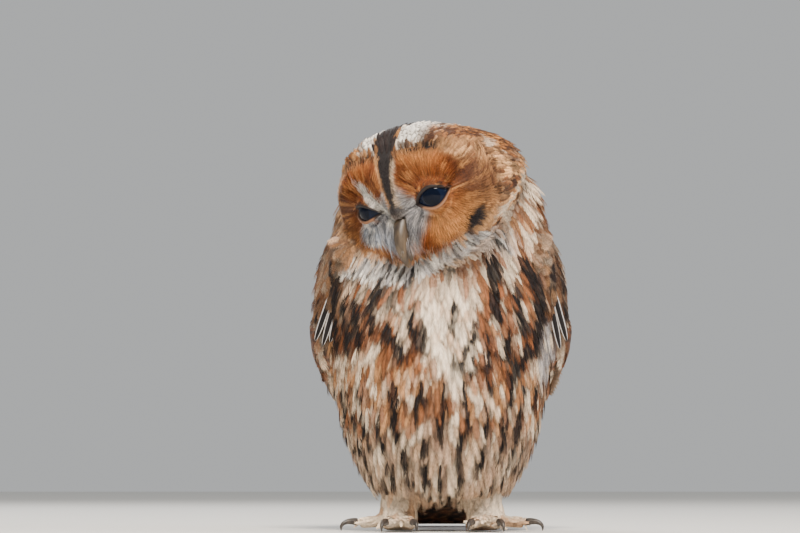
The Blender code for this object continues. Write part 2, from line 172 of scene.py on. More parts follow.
# %% Camera
VIEW_WIDTH = 485.6
CAMERA_PLACE = HOME + np.array([-24.9, -1600, 30])
CAMERA_TARGET = HOME + np.array([-24.9, 0, 159.9])
scene = bpy.context.scene
camera = bpy.data.objects.new("camera", bpy.data.cameras.new("camera"))
scene.collection.objects.link(camera)
look = Vector(CAMERA_TARGET - CAMERA_PLACE)
camera.location = Vector(CAMERA_PLACE) * MM
camera.rotation_euler = look.to_track_quat("-Z", "Y").to_euler()
camera.data.lens = camera.data.sensor_width * look.length / VIEW_WIDTH
camera.data.clip_start = 0.05
scene.camera = camera
print("lens:", round(camera.data.lens, 1), "mm")

# %% Floor and lamps
floor_mesh = bpy.data.meshes.new("floor")
reach = 6.0
floor_mesh.from_pydata([(-reach, -reach, 0), (reach, -reach, 0), (reach, reach, 0), (-reach, reach, 0)],
                       [], [(0, 1, 2, 3)])
floor = bpy.data.objects.new("floor", floor_mesh)
scene.collection.objects.link(floor)
paper, _, paper_shader = new_material("matt_studio_paper")
paper_shader.inputs["Base Color"].default_value = (*colour("#E2E0DB"), 1)
paper_shader.inputs["Roughness"].default_value = 0.9
floor_mesh.materials.append(paper)


def lamp(name, place, size, watts, tone):
    """A square soft box that faces the bird."""
    data = bpy.data.lights.new(name, "AREA")
    data.size = size
    data.energy = watts
    data.color = colour(tone)
    obj = bpy.data.objects.new(name, data)
    obj.location = place
    target = Vector(HOME * MM) + Vector((0, 0, 0.15))
    obj.rotation_euler = (target - obj.location).to_track_quat("-Z", "Y").to_euler()
    scene.collection.objects.link(obj)


lamp("key", (0.1, -1.3, 1.5), 0.45, 64, "#FFF4E6")
lamp("fill", (1.5, -0.85, 0.95), 0.5, 11, "#F4F4FF")
lamp("rim", (-0.6, 1.2, 1.5), 0.8, 24, "#FFFFFF")
world = bpy.data.worlds.new("surround")
world.use_nodes = True
world.node_tree.nodes["Background"].inputs["Color"].default_value = (*colour("#E6E8E9"), 1)
world.node_tree.nodes["Background"].inputs["Strength"].default_value = 0.62
scene.world = world

# %% [markdown]
# ## The skin
# Under its feathers an owl is one unbroken skin. The flesh solids are copied, their loose triangles
# merged, and a voxel remesh melts them into one surface. Loose specks that it leaves are deleted. The
# surface is then relaxed, so that no seam shows, and drawn inwards by the depth of the coat, which is
# thick on the body and thin on face and feet.

# %% One surface from the flesh solids
FLESH = ("head", "neck", "trunk", "tail", "wing_left", "wing_right", "leg_left", "leg_right",
         "foot_left", "foot_right")
VOXEL = 2.2


def link(name, mesh):
    obj = bpy.data.objects.new(name, mesh)
    scene.collection.objects.link(obj)
    return obj


def merged(names):
    """A bmesh with copies of these solids, each closed again."""
    bm = bmesh.new()
    for name in names:
        bm.from_mesh(frame["nodes"][name].data)
    bmesh.ops.remove_doubles(bm, verts=bm.verts, dist=2e-6)
    return bm


def evaluated_mesh(obj):
    """What the object's modifiers make of it, as a plain mesh."""
    graph = bpy.context.evaluated_depsgraph_get()
    graph.update()
    return bpy.data.meshes.new_from_object(obj.evaluated_get(graph))


def points_of(mesh):
    found = np.empty(len(mesh.vertices) * 3, np.float32)
    mesh.vertices.foreach_get("co", found)
    return found.reshape(-1, 3).astype(float) / MM


def normals_of(mesh):
    found = np.empty(len(mesh.vertices) * 3, np.float32)
    mesh.vertex_normals.foreach_get("vector", found)
    return found.reshape(-1, 3).astype(float)


def edges_of(mesh):
    found = np.empty(len(mesh.edges) * 2, np.int32)
    mesh.edges.foreach_get("vertices", found)
    return found.reshape(-1, 2)


def put_points(mesh, points):
    mesh.vertices.foreach_set("co", (points * MM).astype(np.float32).ravel())
    mesh.update()


def shade_smooth(mesh):
    for polygon in mesh.polygons:
        polygon.use_smooth = True


def triangles_in(mesh):
    return sum(len(p.vertices) - 2 for p in mesh.polygons)


def keep_largest_shell(mesh):
    """Deletes the specks that a remesh leaves in narrow gaps, and says how many there were."""
    bm = bmesh.new()
    bm.from_mesh(mesh)
    seen, shells = set(), []
    for start in bm.verts:
        shell = [] if start in seen else [start]
        seen.add(start)
        for vert in shell:
            joined = {edge.other_vert(vert) for edge in vert.link_edges} - seen
            seen |= joined
            shell += sorted(joined, key=lambda v: v.index)
        if shell:
            shells.append(shell)
    shells.sort(key=len)
    specks = [vert for shell in shells[:-1] for vert in shell]
    bmesh.ops.delete(bm, geom=specks, context="VERTS")
    bm.to_mesh(mesh)
    bm.free()
    return len(shells) - 1


bm = merged(FLESH + ("eye_left", "eye_right"))
lump = bpy.data.meshes.new("lump")
bm.to_mesh(lump)
bm.free()
lump_object = link("lump", lump)
melt = lump_object.modifiers.new("melt", "REMESH")
melt.mode = "VOXEL"
melt.voxel_size = VOXEL * MM
skin_mesh = evaluated_mesh(lump_object)
skin_mesh.name = "skin"
bpy.data.objects.remove(lump_object)
print("specks deleted:", keep_largest_shell(skin_mesh))
print("skin:", len(skin_mesh.vertices), "points")


# %% Which part of the bird each point belongs to
def solid_tree(names):
    """A search tree over these solids, and the name that each of its faces belongs to."""
    points, faces, owners = [], [], []
    for name in names:
        mesh = frame["nodes"][name].data
        start = len(points)
        points += [v.co / MM for v in mesh.vertices]
        faces += [[start + i for i in p.vertices] for p in mesh.polygons]
        owners += [name] * len(mesh.polygons)
    return BVHTree.FromPolygons(points, faces), owners


def relaxed(values, edges, rounds, share=0.5):
    """Draws every value towards the mean of its neighbours."""
    values = values if values.ndim == 2 else values[:, None]
    share = np.broadcast_to(share, len(values))[:, None]
    count = np.maximum(np.bincount(edges.ravel(), minlength=len(values)), 1)[:, None]
    for _ in range(rounds):
        total = np.zeros_like(values)
        np.add.at(total, edges[:, 0], values[edges[:, 1]])
        np.add.at(total, edges[:, 1], values[edges[:, 0]])
        values = values + share * (total / count - values)
    return values


flesh_tree, flesh_owner = solid_tree(FLESH)


def belonging(points, edges, rounds):
    """For each flesh solid, how much each point belongs to it, with soft borders."""
    owner = [flesh_owner[flesh_tree.find_nearest(Vector(p))[2]] for p in points]
    sharp = np.stack([[float(o == name) for o in owner] for name in FLESH], 1)
    soft = relaxed(sharp, edges, rounds)
    share = dict(zip(FLESH, soft.T))
    share["wings"] = share["wing_left"] + share["wing_right"]
    share["legs"] = share["leg_left"] + share["leg_right"]
    share["feet"] = share["foot_left"] + share["foot_right"]
    return share


def head_place(points):
    """Points in the head's own directions."""
    return (points - HEAD) @ HEAD_AXES


FACE_HALF_WIDTH, FACE_TOP, FACE_BOTTOM = 56.0, 44.0, 47.5
FACE_ROUNDNESS = 2.12


def face_reach(local):
    """How far out on the face a point is: 0 in the middle, 1 on the widest outline."""
    across = np.abs(local[:, 0]) / FACE_HALF_WIDTH
    upright = np.where(local[:, 2] > 0, local[:, 2] / FACE_TOP, -local[:, 2] / FACE_BOTTOM)
    return (across ** FACE_ROUNDNESS + upright ** FACE_ROUNDNESS) ** (1 / FACE_ROUNDNESS)


# %% Draw the skin inwards by the coat's depth
COAT_DEPTH = {"head": 3.6, "neck": 4.2, "trunk": 5.0, "tail": 0.9, "wings": 2.6, "legs": 2.2, "feet": 0.7}
FACE_COAT = 2.0
THIN_SHARE = 0.28
points, edges = points_of(skin_mesh), edges_of(skin_mesh)
share = belonging(points, edges, 6)
fine = np.clip(share["feet"] + share["tail"] + 0.6 * share["wings"], 0, 1)
points = relaxed(points, edges, 7, 0.55 - 0.4 * fine)
put_points(skin_mesh, points)
depth = sum(share[part] * deep for part, deep in COAT_DEPTH.items())
local = head_place(points)
on_face = share["head"] * smooth(-local[:, 1], 4, 14) * (1 - smooth(face_reach(local), 0.88, 1.02))
depth += (FACE_COAT - depth) * on_face
inward = -normals_of(skin_mesh)
skin_tree = BVHTree.FromPolygons(points.tolist(), [p.vertices[:] for p in skin_mesh.polygons])
thick = np.array([
    (skin_tree.ray_cast(Vector(p + 0.05 * n), Vector(n))[3] or 99) for p, n in zip(points, inward)
])
depth = np.minimum(depth, THIN_SHARE * thick)
depth = relaxed(depth, edges, 4)[:, 0]
points = relaxed(points + inward * depth[:, None], edges, 2, 0.4 - 0.3 * fine)
put_points(skin_mesh, points)
print("coat depth:", depth.min().round(2), "to", depth.max().round(2), "mm")

# %% [markdown]
# ## Eyelids
# An owl at rest half closes its eyes, and the opening is a slanted lens that rises towards the
# temple. The skin near the eyes is divided finely, then every point round an eyeball is set to a
# distance from the ball's centre: just proud of the ball outside the opening, and behind the ball
# inside it. That gives a thick, rounded lid margin with no hole to stitch.

# %% Divide the face and the eye region
FACE_EDGE = 1.04
LID_REACH = 19.0
LID_CORE = 15.5


def divide(mesh, wanted):
    """Halves every edge whose two ends are both wanted."""
    bm = bmesh.new()
    bm.from_mesh(mesh)
    bm.verts.ensure_lookup_table()
    chosen = [e for e in bm.edges if wanted[e.verts[0].index] and wanted[e.verts[1].index]]
    bmesh.ops.subdivide_edges(bm, edges=chosen, cuts=1, use_grid_fill=True)
    bmesh.ops.triangulate(bm, faces=[f for f in bm.faces if len(f.verts) > 4])
    bm.to_mesh(mesh)
    bm.free()


def eye_distance(points):
    return np.minimum(*[np.linalg.norm(points - EYES[s], axis=1) for s in (1, -1)])


local = head_place(points)
divide(skin_mesh, (face_reach(local) < FACE_EDGE) & (local[:, 1] < -4))
points = points_of(skin_mesh)
points = relaxed(points, edges_of(skin_mesh), 2, 0.5 * (eye_distance(points) < 60))
put_points(skin_mesh, points)
ahead = head_place(points)[:, 1] < -EYE_AHEAD - 1
divide(skin_mesh, (eye_distance(points) < LID_REACH) & ahead)
points = points_of(skin_mesh)
ahead = head_place(points)[:, 1] < -EYE_AHEAD - 3
divide(skin_mesh, (eye_distance(points) < LID_CORE) & ahead)
print("skin:", len(skin_mesh.vertices), "points after dividing")

# %% Shape the lids
GAZE_SPREAD = math.radians(20)
LID_SLANT = math.radians(13)
LID_HALF_LENGTH = 12.0
UPPER_LID_HEIGHT = 5.0
LOWER_LID_HEIGHT = 6.0
LID_THICKNESS = 0.9
LID_RIM = 0.7
SET_BACK = 2.9


def eye_axes(side):
    """Gaze, outward along the slanted opening, and up across it, as the columns of a matrix."""
    gaze = np.array([side * math.sin(GAZE_SPREAD), -math.cos(GAZE_SPREAD), 0])
    level = np.array([side * math.cos(GAZE_SPREAD), math.sin(GAZE_SPREAD), 0])
    rise = np.array([0, 0, 1])
    along = math.cos(LID_SLANT) * level + math.sin(LID_SLANT) * rise
    across = -math.sin(LID_SLANT) * level + math.cos(LID_SLANT) * rise
    return HEAD_AXES @ np.stack([gaze, along, across], 1)


def lid_place(points, side):
    """Distance from the lid's edge (inside is negative), height across the opening, and place along it."""
    parts = (points - EYES[side]) @ eye_axes(side)
    ahead_part = np.maximum(parts[:, 0], 0.2)
    along = np.arctan2(parts[:, 1], ahead_part) * EYE_RADIUS
    across = np.arctan2(parts[:, 2], ahead_part) * EYE_RADIUS
    opening = 1.0 if side > 0 else 0.75
    power = np.where(across > 0, np.where(along > 0, 1.4, 0.6), np.where(along > 0, 0.65, 1.1))
    arch = opening * np.clip(1 - (along / LID_HALF_LENGTH) ** 2, 0, 1) ** power
    height = np.where(across > 0, UPPER_LID_HEIGHT, LOWER_LID_HEIGHT) * arch
    margin = np.abs(across) - height
    beyond = np.abs(along) - LID_HALF_LENGTH
    margin = np.where(beyond > 0, np.hypot(beyond, across), margin)
    margin = np.where(parts[:, 0] > 0, margin, 40.0)
    return margin, across, along


points = points_of(skin_mesh)
for _, side in SIDES:
    margin, across, along = lid_place(points, side)
    away = points - EYES[side]
    radius = np.linalg.norm(away, axis=1)
    lid = EYE_RADIUS + LID_THICKNESS + LID_RIM * near(margin, 1.1, 0.9)
    lid -= SET_BACK * (1 - smooth(margin, -0.55, 0.2))
    hold = (1 - smooth(margin, 3.0, 9.5)) * (radius < 26)
    points = points + away / radius[:, None] * (hold * (lid - radius))[:, None]
put_points(skin_mesh, points)
shade_smooth(skin_mesh)
print("lids shaped")

# %% [markdown]
# ## An unwrap of the skin
# Each feather later takes its place on the skin's own unwrap, so that its colour can be baked
# beside its neighbours'. A smart projection unwraps the skin by the way its faces look.

# %% Unwrap
UV_MAP = "OFBake"
skin = link("skin", skin_mesh)
skin_mesh.uv_layers.new(name=UV_MAP)
bpy.context.view_layer.objects.active = skin
skin.select_set(True)
bpy.ops.object.mode_set(mode="EDIT")
bpy.ops.mesh.select_all(action="SELECT")
bpy.ops.uv.smart_project(angle_limit=math.radians(66), island_margin=0.001)
bpy.ops.object.mode_set(mode="OBJECT")
skin.select_set(False)
print("unwrapped", len(skin_mesh.polygons), "faces")

# %% [markdown]
# ## Markings
# A tawny owl is painted by its feathers: each has a ground colour, often a dark streak down its
# shaft, cross-bars, or a pale edge. These are worked out once for every point of the skin, from where
# the point lies on the head and body, and both the skin and the feathers that grow there use them.

# %% The palette
DISC, DISC_DEEP, DISC_BRIGHT = colour("#A4541A"), colour("#582A10"), colour("#E8A562")
# The last lores colour is painted shade: the blue of sky light on the owl's shaded right side.
LORES, LORES_GREY, SKYLIT_SHADE_BLUE = colour("#DCD6D4"), colour("#7A7A7E"), colour("#B4BBC8")
STRIPE, RIM_DARK = colour("#2B2526"), colour("#3A2A20")
CREAM, WHITE, SILVER = colour("#E6D2B8"), colour("#F4EEE4"), colour("#BDB8B6")
RUFOUS, BUFF, BROWN = colour("#87502E"), colour("#C08C5E"), colour("#4A2E1C")
BREAST_CREAM, LID_TAN, LID_BROWN = colour("#EDDCC4"), colour("#8A6044"), colour("#20130F")
RUST, DARK = colour("#A85C2A"), colour("#171314")


# %% Shared measures of every skin point
DISC_TOP, DISC_BOTTOM, DISC_SIDE = 28.0, 39.0, 56.0
points, edges = points_of(skin_mesh), edges_of(skin_mesh)
normals = normals_of(skin_mesh)
share = belonging(points, edges, 5)
place = points - HOME
local = head_place(points)
side_x, back_y, up_z = local.T
lean = np.abs(side_x)
frontness = smooth(-back_y, 6, 16)
owl_left = smooth(side_x, -2, 2)
lid_margin = np.minimum(*[lid_place(points, s)[0] for s in (1, -1)])
coarse = mottle(points, 11)
lumps = mottle(points, 5, (1, 1, 2.4), 5.0)
grain = mottle(points, 2.2, (1, 1, 2.4), 9.0)
wisps = mottle(points, 1.5, (1, 1, 3.0), 3.0)
roundness = np.where(up_z > 0, 3.0, 2.4)
disc_rise = np.abs(up_z) / np.where(up_z > 0, DISC_TOP, DISC_BOTTOM)
disc_out = ((lean / DISC_SIDE) ** roundness + disc_rise ** roundness) ** (1 / roundness)
widened = smooth(side_x, 34, 44) * near(up_z, -3, 17)
on_disc = share["head"] * frontness * (
    1 - smooth(disc_out + 0.08 * smooth(up_z, 5, 18) - 0.09 * widened, 0.84, 0.91))
eye_x, eye_z = lean - EYE_SIDE, up_z - EYE_HEIGHT
eye_gap = np.hypot(eye_x, eye_z)
turn = np.stack([20 * eye_x / (eye_gap + 0.1), 20 * eye_z / (eye_gap + 0.1), 0.2 * eye_gap + 9 * owl_left], 1)
rays = mottle(turn, 1.3, (1, 1, 1), 12.0)
print("points on the discs:", int((on_disc > 0.5).sum()))

# %% The head's colours
def flat(tone):
    """One colour for every skin point."""
    return np.tile(tone, (len(points), 1))


around_disc = np.stack([disc_out * 30, 9 * np.arctan2(up_z + 4, lean), 0 * lean], 1)
swirl = mottle(around_disc, 2.2, (1, 1, 1), 21.0)
tint = mix(flat(colour("#FFC488")), RUFOUS, smooth(swirl + 0.6 * grain, 0.1, 0.7))
behind_rim = np.maximum(smooth(disc_out, 0.98, 1.06), smooth(back_y, -15, -6))
tint = mix(tint, colour("#F4E2C8"), 0.95 * smooth(-swirl + 0.5 * lumps, 0.0, 0.5) * behind_rim)
tint = mix(tint, DARK, 0.8 * smooth(-lumps + 0.7 * swirl, 0.5, 0.8))
back_of_head = smooth(back_y, 5, 35)
tint = mix(tint, BROWN, 0.6 * back_of_head)

above = smooth(up_z, -6, 20)
disc = mix(flat(DISC), DISC_BRIGHT, (0.1 + 0.75 * owl_left) * near(up_z, 19, 7) * near(lean, 24, 10))
disc = mix(disc, DISC_DEEP, 0.85 * smooth(lean, 31, 43) * (1 - smooth(up_z, 14, 28)) * smooth(up_z, -26, -12))
disc = mix(disc, DISC_DEEP, 0.85 * smooth(lid_margin, 10, 2.5) * above)
disc = mix(disc, DISC_DEEP, 0.6 * near(lean, 13, 5) * near(up_z, 10, 8))
# The lower disc is paler, and painted light makes it brighter still on the owl's left, lit side.
disc = mix(disc, DISC_BRIGHT, 0.95 * near(up_z, -21, 12) * smooth(lean, 14, 22) * (0.3 + 0.7 * owl_left))
# Painted shade: the lower face on the owl's right, shaded side is darker.
disc = mix(disc, BROWN, 0.3 * (1 - owl_left) * smooth(-up_z, -50, -8))
disc = mix(disc, BUFF, 0.45 * (1 - owl_left) * near(up_z, -26, 9))
disc = mix(disc, DISC_DEEP, 0.6 * smooth(rays + 0.5 * wisps, 0.1, 0.9))
disc = mix(disc, DISC_BRIGHT, 0.7 * smooth(-rays - 0.5 * wisps, 0.15, 0.8))
disc = mix(disc, RIM_DARK, 0.3 * smooth(disc_out, 0.74, 0.88) * (0.4 + 0.6 * smooth(wisps, -0.2, 0.5)))

down_rim, over_rim = (lean - 41.5) * 0.6 + (up_z + 21.5) * 0.8, (lean - 41.5) * 0.8 - (up_z + 21.5) * 0.6
in_smudge = smooth(10.5 - np.hypot(down_rim, 3.4 * over_rim) + 2.0 * wisps, 0, 3) * frontness
top_arc = smooth(up_z, 10, 17) * smooth(lean, 7, 11) * (1 - 0.7 * smooth(lean, 30, 40))
disc = mix(disc, DISC_DEEP, 0.8 * top_arc * smooth(disc_out, 0.66, 0.8))

lores_width = 4.5 + 0.75 * np.clip(13 - up_z, 0, 24)
lores_floor = -24.0 + (0.35 + 0.75 * owl_left) * np.clip(lean - 8, 0, 11)
in_lores = smooth(lores_width - lean, 0, 5) * smooth(up_z - lores_floor, -4, 4) * (1 - smooth(up_z, 12, 20))
lores = mix(flat(LORES), LORES_GREY, 0.6 * smooth(9 - lean, 0, 4) * smooth(-up_z, 6, 14))
lores = mix(lores, colour("#5E636C"), 0.8 * smooth(9.5 - np.hypot(lean - 11, 0.8 * (up_z + 11)), 0, 4)
            * smooth(rays + grain, -0.5, 0.4))
# Dark beside the root of the bill: partly the foot of the dark stripe, partly painted shadow of the bill.
lores = mix(lores, RIM_DARK, 0.75 * smooth(7 - lean, 0, 3) * near(up_z, -14, 7))
# Painted shade: the lower lores on the owl's right, shaded side turn sky blue.
lores = mix(lores, SKYLIT_SHADE_BLUE, 0.85 * (1 - owl_left) * smooth(-up_z, 10, 18))
lores = mix(lores, LORES_GREY, 0.85 * smooth(grain + 0.7 * wisps, -0.1, 0.7))
disc = mix(disc, lores, in_lores)

stripe_half = 2.4 + 1.2 * smooth(up_z, -4, 10) + 4.0 * smooth(up_z, 8, 34) + 2.0 * smooth(back_y, -26, -6)
beside = lean - stripe_half + 0.9 * lumps * smooth(up_z, 16, 30)
comb = smooth(4.4 - beside, 0, 1.5) * smooth(up_z, -14, -4)
disc = mix(disc, mix(flat(DISC_BRIGHT), CREAM, 0.2 + 0.65 * owl_left), comb)
# Under the owl's right eye: white feathers, tinted blue by painted sky-lit shade.
under_eye = np.hypot((lean - 26) * 0.8 + (up_z + 14.5) * 0.8, (up_z + 14.5) * 0.8 - (lean - 26) * 0.65)
white_in_skylit_shade = mix(flat(SKYLIT_SHADE_BLUE), WHITE, smooth(rays + wisps, -0.2, 0.6))
white_in_skylit_shade = mix(white_in_skylit_shade, LORES_GREY, 0.8 * smooth(-rays - 0.6 * wisps, 0.1, 0.7))
disc = mix(disc, white_in_skylit_shade, (1 - owl_left) * smooth(9.5 - under_eye, 0, 3))
brow_line = np.abs(up_z + 4.8 - 0.95 * (lean - 10.2)) * 0.72
disc = mix(disc, WHITE, (1 - owl_left) * smooth(2.6 - brow_line, 0, 1.1) * smooth(27 - lean, 0, 3))
in_chin = smooth(-up_z, 24, 31) * (1 - in_lores)
chin = mix(flat(RUST), DARK, 0.9 * smooth(grain + wisps, 0.1, 0.6))
disc = mix(disc, mix(chin, CREAM, 0.8 * smooth(-grain - wisps, 0.3, 0.8)), in_chin)
tint = mix(tint, disc, on_disc)
on_top = share["head"] * smooth(up_z, 12, 24) * (1 - on_disc) * (1 - smooth(back_y, 24, 44))
tint = mix(tint, colour("#A86A34"), 0.5 * on_top)
tint = mix(tint, BROWN, 0.8 * on_top * smooth(swirl - 0.5 * lumps, 0.1, 0.5))
at_side = share["head"] * near(back_y, -10, 4) * smooth(lean, 40, 46) * smooth(up_z, -28, -18)
tint = mix(tint, mix(flat(RUFOUS), DARK, smooth(wisps + grain, -0.6, 0.3)), 0.45 * at_side)

# %% The rim, the crown and the collar
on_rim = share["head"] * near(disc_out, 1.0 - 0.06 * top_arc, 0.09 - 0.035 * top_arc) * frontness
tint = mix(tint, mix(flat(RUFOUS), DARK, smooth(wisps + grain, -1.4, -0.1)),
           np.clip(1.3 * on_rim, 0, 1) * top_arc)
tint = mix(tint, mix(flat(BUFF), BROWN, smooth(wisps + grain, -0.1, 0.7)), 0.8 * on_rim * (1 - top_arc))
tint = mix(tint, mix(flat(RUST), DARK, 0.8 * smooth(wisps, 0.1, 0.6)),
           on_rim * smooth(-up_z, 28, 36) * (1 - top_arc))
on_crown = (share["head"] * np.maximum(smooth(disc_out, 0.98, 1.04), smooth(back_y, -6, 4))
            * smooth(up_z, 3, 16) * (1 - smooth(back_y, 24, 44)))
crown = mix(flat(BROWN), colour("#B87840"), smooth(grain, -0.4, 0.1))
crown = mix(crown, DISC_BRIGHT, 0.55 * smooth(lumps + 0.5 * grain, 0.25, 0.7))
crown = mix(crown, CREAM, 0.9 * smooth(swirl + 0.5 * wisps - 0.02 * np.clip(lean - 16, 0, 15), 0.35, 0.8))
crown = mix(crown, DARK, 0.9 * smooth(-lumps - 0.5 * wisps, 0.0, 0.35))
tint = mix(tint, mix(crown, RUFOUS, 0.25 * smooth(lean, 14, 24)), on_crown)
patch = smooth(disc_out, 1.0, 1.05) * (1 - smooth(disc_out, 1.48, 1.62)) * smooth(up_z, 20, 30)
patch *= smooth(beside, 0.3, 2.0) * np.where(
    side_x > 0, 1 - smooth(side_x, 18, 27), 1 - smooth(-side_x, 15, 22))
tint = mix(tint, WHITE, 0.97 * patch * share["head"])
in_stripe = smooth(-beside, -0.7, 0.7) * share["head"] * smooth(up_z, -15, -8) * (1 - smooth(back_y, 10, 35))
tint = mix(tint, STRIPE, in_stripe)
tint = mix(tint, STRIPE, in_smudge * share["head"])
x, y, z = place.T
band = np.interp(x, (-73, -41, -21, -8, 1, 22, 33, 48), (165, 157, 153, 158, 165, 172, 174, 178))
collar = smooth(5.8 - np.abs(z - band), 0, 2.0) * (1 - smooth(x, 40, 50)) * smooth(-y, -8, 6)
collar *= (1 - on_disc) * np.clip(share["head"] + share["neck"] + share["trunk"], 0, 1)
silver = mix(flat(SILVER), WHITE, smooth(lumps + grain, -0.5, 0.3))
silver = mix(silver, DISC_BRIGHT, 0.35 * smooth(x, -10, 15) * smooth(coarse + lumps, -0.3, 0.6))
tint = mix(tint, mix(silver, DARK, 0.95 * smooth(-grain - wisps, 0.0, 0.6)), collar)

# %% The body's colours
# Dark streaks of the breast: x and z of the top and of the foot of each, then half its width.
STREAKS = (
    (-61, 160, -63, 140, 2.4), (-63, 142, -60, 118, 2.2), (-54.6, 145, -52.8, 118, 1.8),
    (-48, 143, -44.5, 120, 1.8), (-32, 158, -36, 142, 2.6), (-38.8, 138, -38, 126, 1.8),
    (-43, 158, -38, 157, 1.6), (-31.6, 127, -22, 112, 2.4), (-18, 131, -10.5, 115, 1.9),
    (-11, 129, -10, 121, 1.0), (7, 141, 5.5, 124, 1.1), (18, 130, 14.5, 120, 1.7), (14.5, 120, 8, 105, 2.0),
    (29, 165, 29, 134, 2.4), (24, 124, 23.5, 118, 1.0), (40, 149, 43.5, 126, 1.9), (45, 166, 54, 152, 3.2),
    (54, 155, 55.5, 134, 2.6), (53.5, 144, 53, 118, 2.4), (34.5, 123, 32.5, 110, 2.2),
    (48.6, 116, 29, 90, 2.6), (16.5, 110, 13.5, 99, 1.7), (26, 112, 22, 106, 1.4))
on_body = np.clip(share["trunk"] + share["neck"], 0, 1) * (1 - collar)
forward = np.maximum(smooth(-normals[:, 1], -0.25, 0.35), smooth(-y, -18, 4))
sway = 1.5 * mottle(points, 14, (1, 1, 1), 31.0)
to_streak = np.full(len(points), 30.0)
for top_x, top_z, foot_x, foot_z, half in STREAKS:
    run_x, run_z = foot_x - top_x, foot_z - top_z
    reached = np.clip(((x - top_x) * run_x + (z - top_z) * run_z) / (run_x ** 2 + run_z ** 2), 0, 1)
    to_streak = np.minimum(to_streak, np.hypot(x + sway - top_x - reached * run_x,
                                               z - top_z - reached * run_z) - half)
around = np.degrees(np.arctan2(x, 12 - y))
unseen = np.maximum(1 - smooth(z, 92, 102), smooth(np.abs(x), 60, 66))
wave = np.cos(np.radians(360 / 11 * (around + 2.0 * mottle(points, 22, (1, 1, 1), 8.0))))
column_gap = 9.0 * (0.62 - wave) + 30 * (mottle(points, 15, (0.4, 1, 1.1), 77.0) < -0.25)
to_streak = mix(to_streak[:, None], column_gap[:, None], unseen)[:, 0]
streaked = 1 - smooth(to_streak, -0.4, 1.4)
body = mix(flat(CREAM), BUFF, smooth(coarse + 0.5 * grain, -0.7, 0.1))
body = mix(body, RUFOUS, 0.95 * smooth(5.0 - to_streak, 0, 2.5) * smooth(lumps, -0.75, -0.1))
body = mix(body, RUFOUS, 0.85 * smooth(lumps + 0.5 * grain, -0.1, 0.4))
body = mix(body, BROWN, 0.9 * smooth(grain + 0.5 * wisps, 0.2, 0.7))
body = mix(body, CREAM, 0.95 * smooth(-lumps - 0.5 * grain, 0.3, 0.7))
patch_half = 2 + 12 * smooth(z, 90, 118)
in_patch = (smooth(patch_half - np.abs(x - 3 + 0.12 * (z - 125)), -4, 4)
            * smooth(z, 80, 94) * (1 - smooth(z, 142, 156)))
body = mix(body, mix(flat(BREAST_CREAM), BUFF, 0.55 * smooth(lumps + grain, 0.2, 0.9)), 0.95 * in_patch)
under_collar = near(z, band - 11, 9) * (1 - in_patch) * (1 - smooth(x, 30, 40))
body = mix(body, mix(flat(CREAM), RUFOUS, smooth(lumps + 0.6 * grain, -0.3, 0.2)), 0.8 * under_collar)
body = mix(body, DARK, 0.85 * under_collar * smooth(-lumps + 0.5 * wisps, 0.15, 0.55))
on_shoulder = smooth(np.abs(x), 52, 60) * smooth(z, 128, 140) * smooth(-y, -10, 10)
body = mix(body, mix(flat(BROWN), BUFF, smooth(grain + wisps, -0.4, 0.6)), 0.7 * on_shoulder)
body = mix(body, DARK, 0.7 * smooth(x, 60, 68) * smooth(z, 104, 124) * smooth(grain + lumps, -0.5, 0.2))
body = mix(body, CREAM, 0.4 * smooth(-z, -80, -50))
body = mix(body, BROWN, (0.55 + 0.25 * (x > 0)) * smooth(np.abs(x), 44, 58) * smooth(z, 105, 130)
           * smooth(grain + 0.5 * lumps, -0.6, 0.2))
ash = mix(flat(SILVER), LORES_GREY, 0.85 * smooth(grain + 0.7 * wisps, -0.2, 0.6))
in_ash = (0.9 * smooth(lumps + 0.5 * grain, -0.7, 0.1) * smooth(7.0 - np.abs(x - 61), 0, 3)
          * smooth(21 - np.abs(z - 116), 0, 6) * smooth(-y, -10, -3))
body = mix(body, ash, in_ash)
body = mix(body, DARK, 0.93 * streaked * (1 - in_ash))
behind = mix(flat(BROWN), RUFOUS, smooth(lumps, -0.2, 0.6))
behind = mix(behind, BUFF, 0.7 * smooth(grain, 0.3, 0.9))
behind = mix(behind, DARK, 0.75 * smooth(-grain - lumps, 0.3, 1.0))
body = mix(behind, body, forward)
tint = mix(tint, body, on_body)

# %% Wings, tail, legs and feet
wing = mix(flat(BROWN), RUFOUS, smooth(lumps, -0.2, 0.5))
wing = mix(wing, BUFF, 0.6 * smooth(grain, 0.2, 0.8))
wing = mix(wing, DARK, 0.7 * smooth(-grain - lumps, 0.2, 0.9))
wing = mix(wing, body, smooth(-y, -46, -10) * smooth(z, 84, 112))
tint = mix(tint, wing, np.clip(share["wings"] + share["tail"], 0, 1))
limb = mix(flat(CREAM), BUFF, 0.7 * smooth(lumps, 0, 0.7))
tint = mix(tint, mix(limb, BROWN, 0.5 * smooth(grain, 0.3, 0.8)),
           np.clip(share["legs"] + share["feet"], 0, 1))

# %% Streaks, bars and edges
loose_head = share["head"] * (1 - on_disc)
streak = on_body * forward * (0.15 + 0.85 * streaked) * (1 - in_patch * (1 - streaked))
streak += on_body * (1 - forward) * 0.8
streak += loose_head * (1 - patch) * 0.5 + share["wings"] * 0.6
bars = (0.12 * on_body * (1 - in_patch) * (1 - in_ash) + 0.3 * share["wings"] + share["tail"]
        + 0.25 * loose_head * (1 - patch))
edge = loose_head * (0.05 + 0.3 * smooth(lumps, 0, 0.6)) * (1 - in_stripe) * (1 - on_crown)
edge += 0.2 * on_body + 0.3 * share["wings"]
marks = np.clip(np.stack([streak, bars, edge], 1), 0, 1)
rimmed = np.clip(share["head"] * np.maximum(0.9 * on_crown, 0.6 * patch) * (1 - in_stripe), 0, 1)

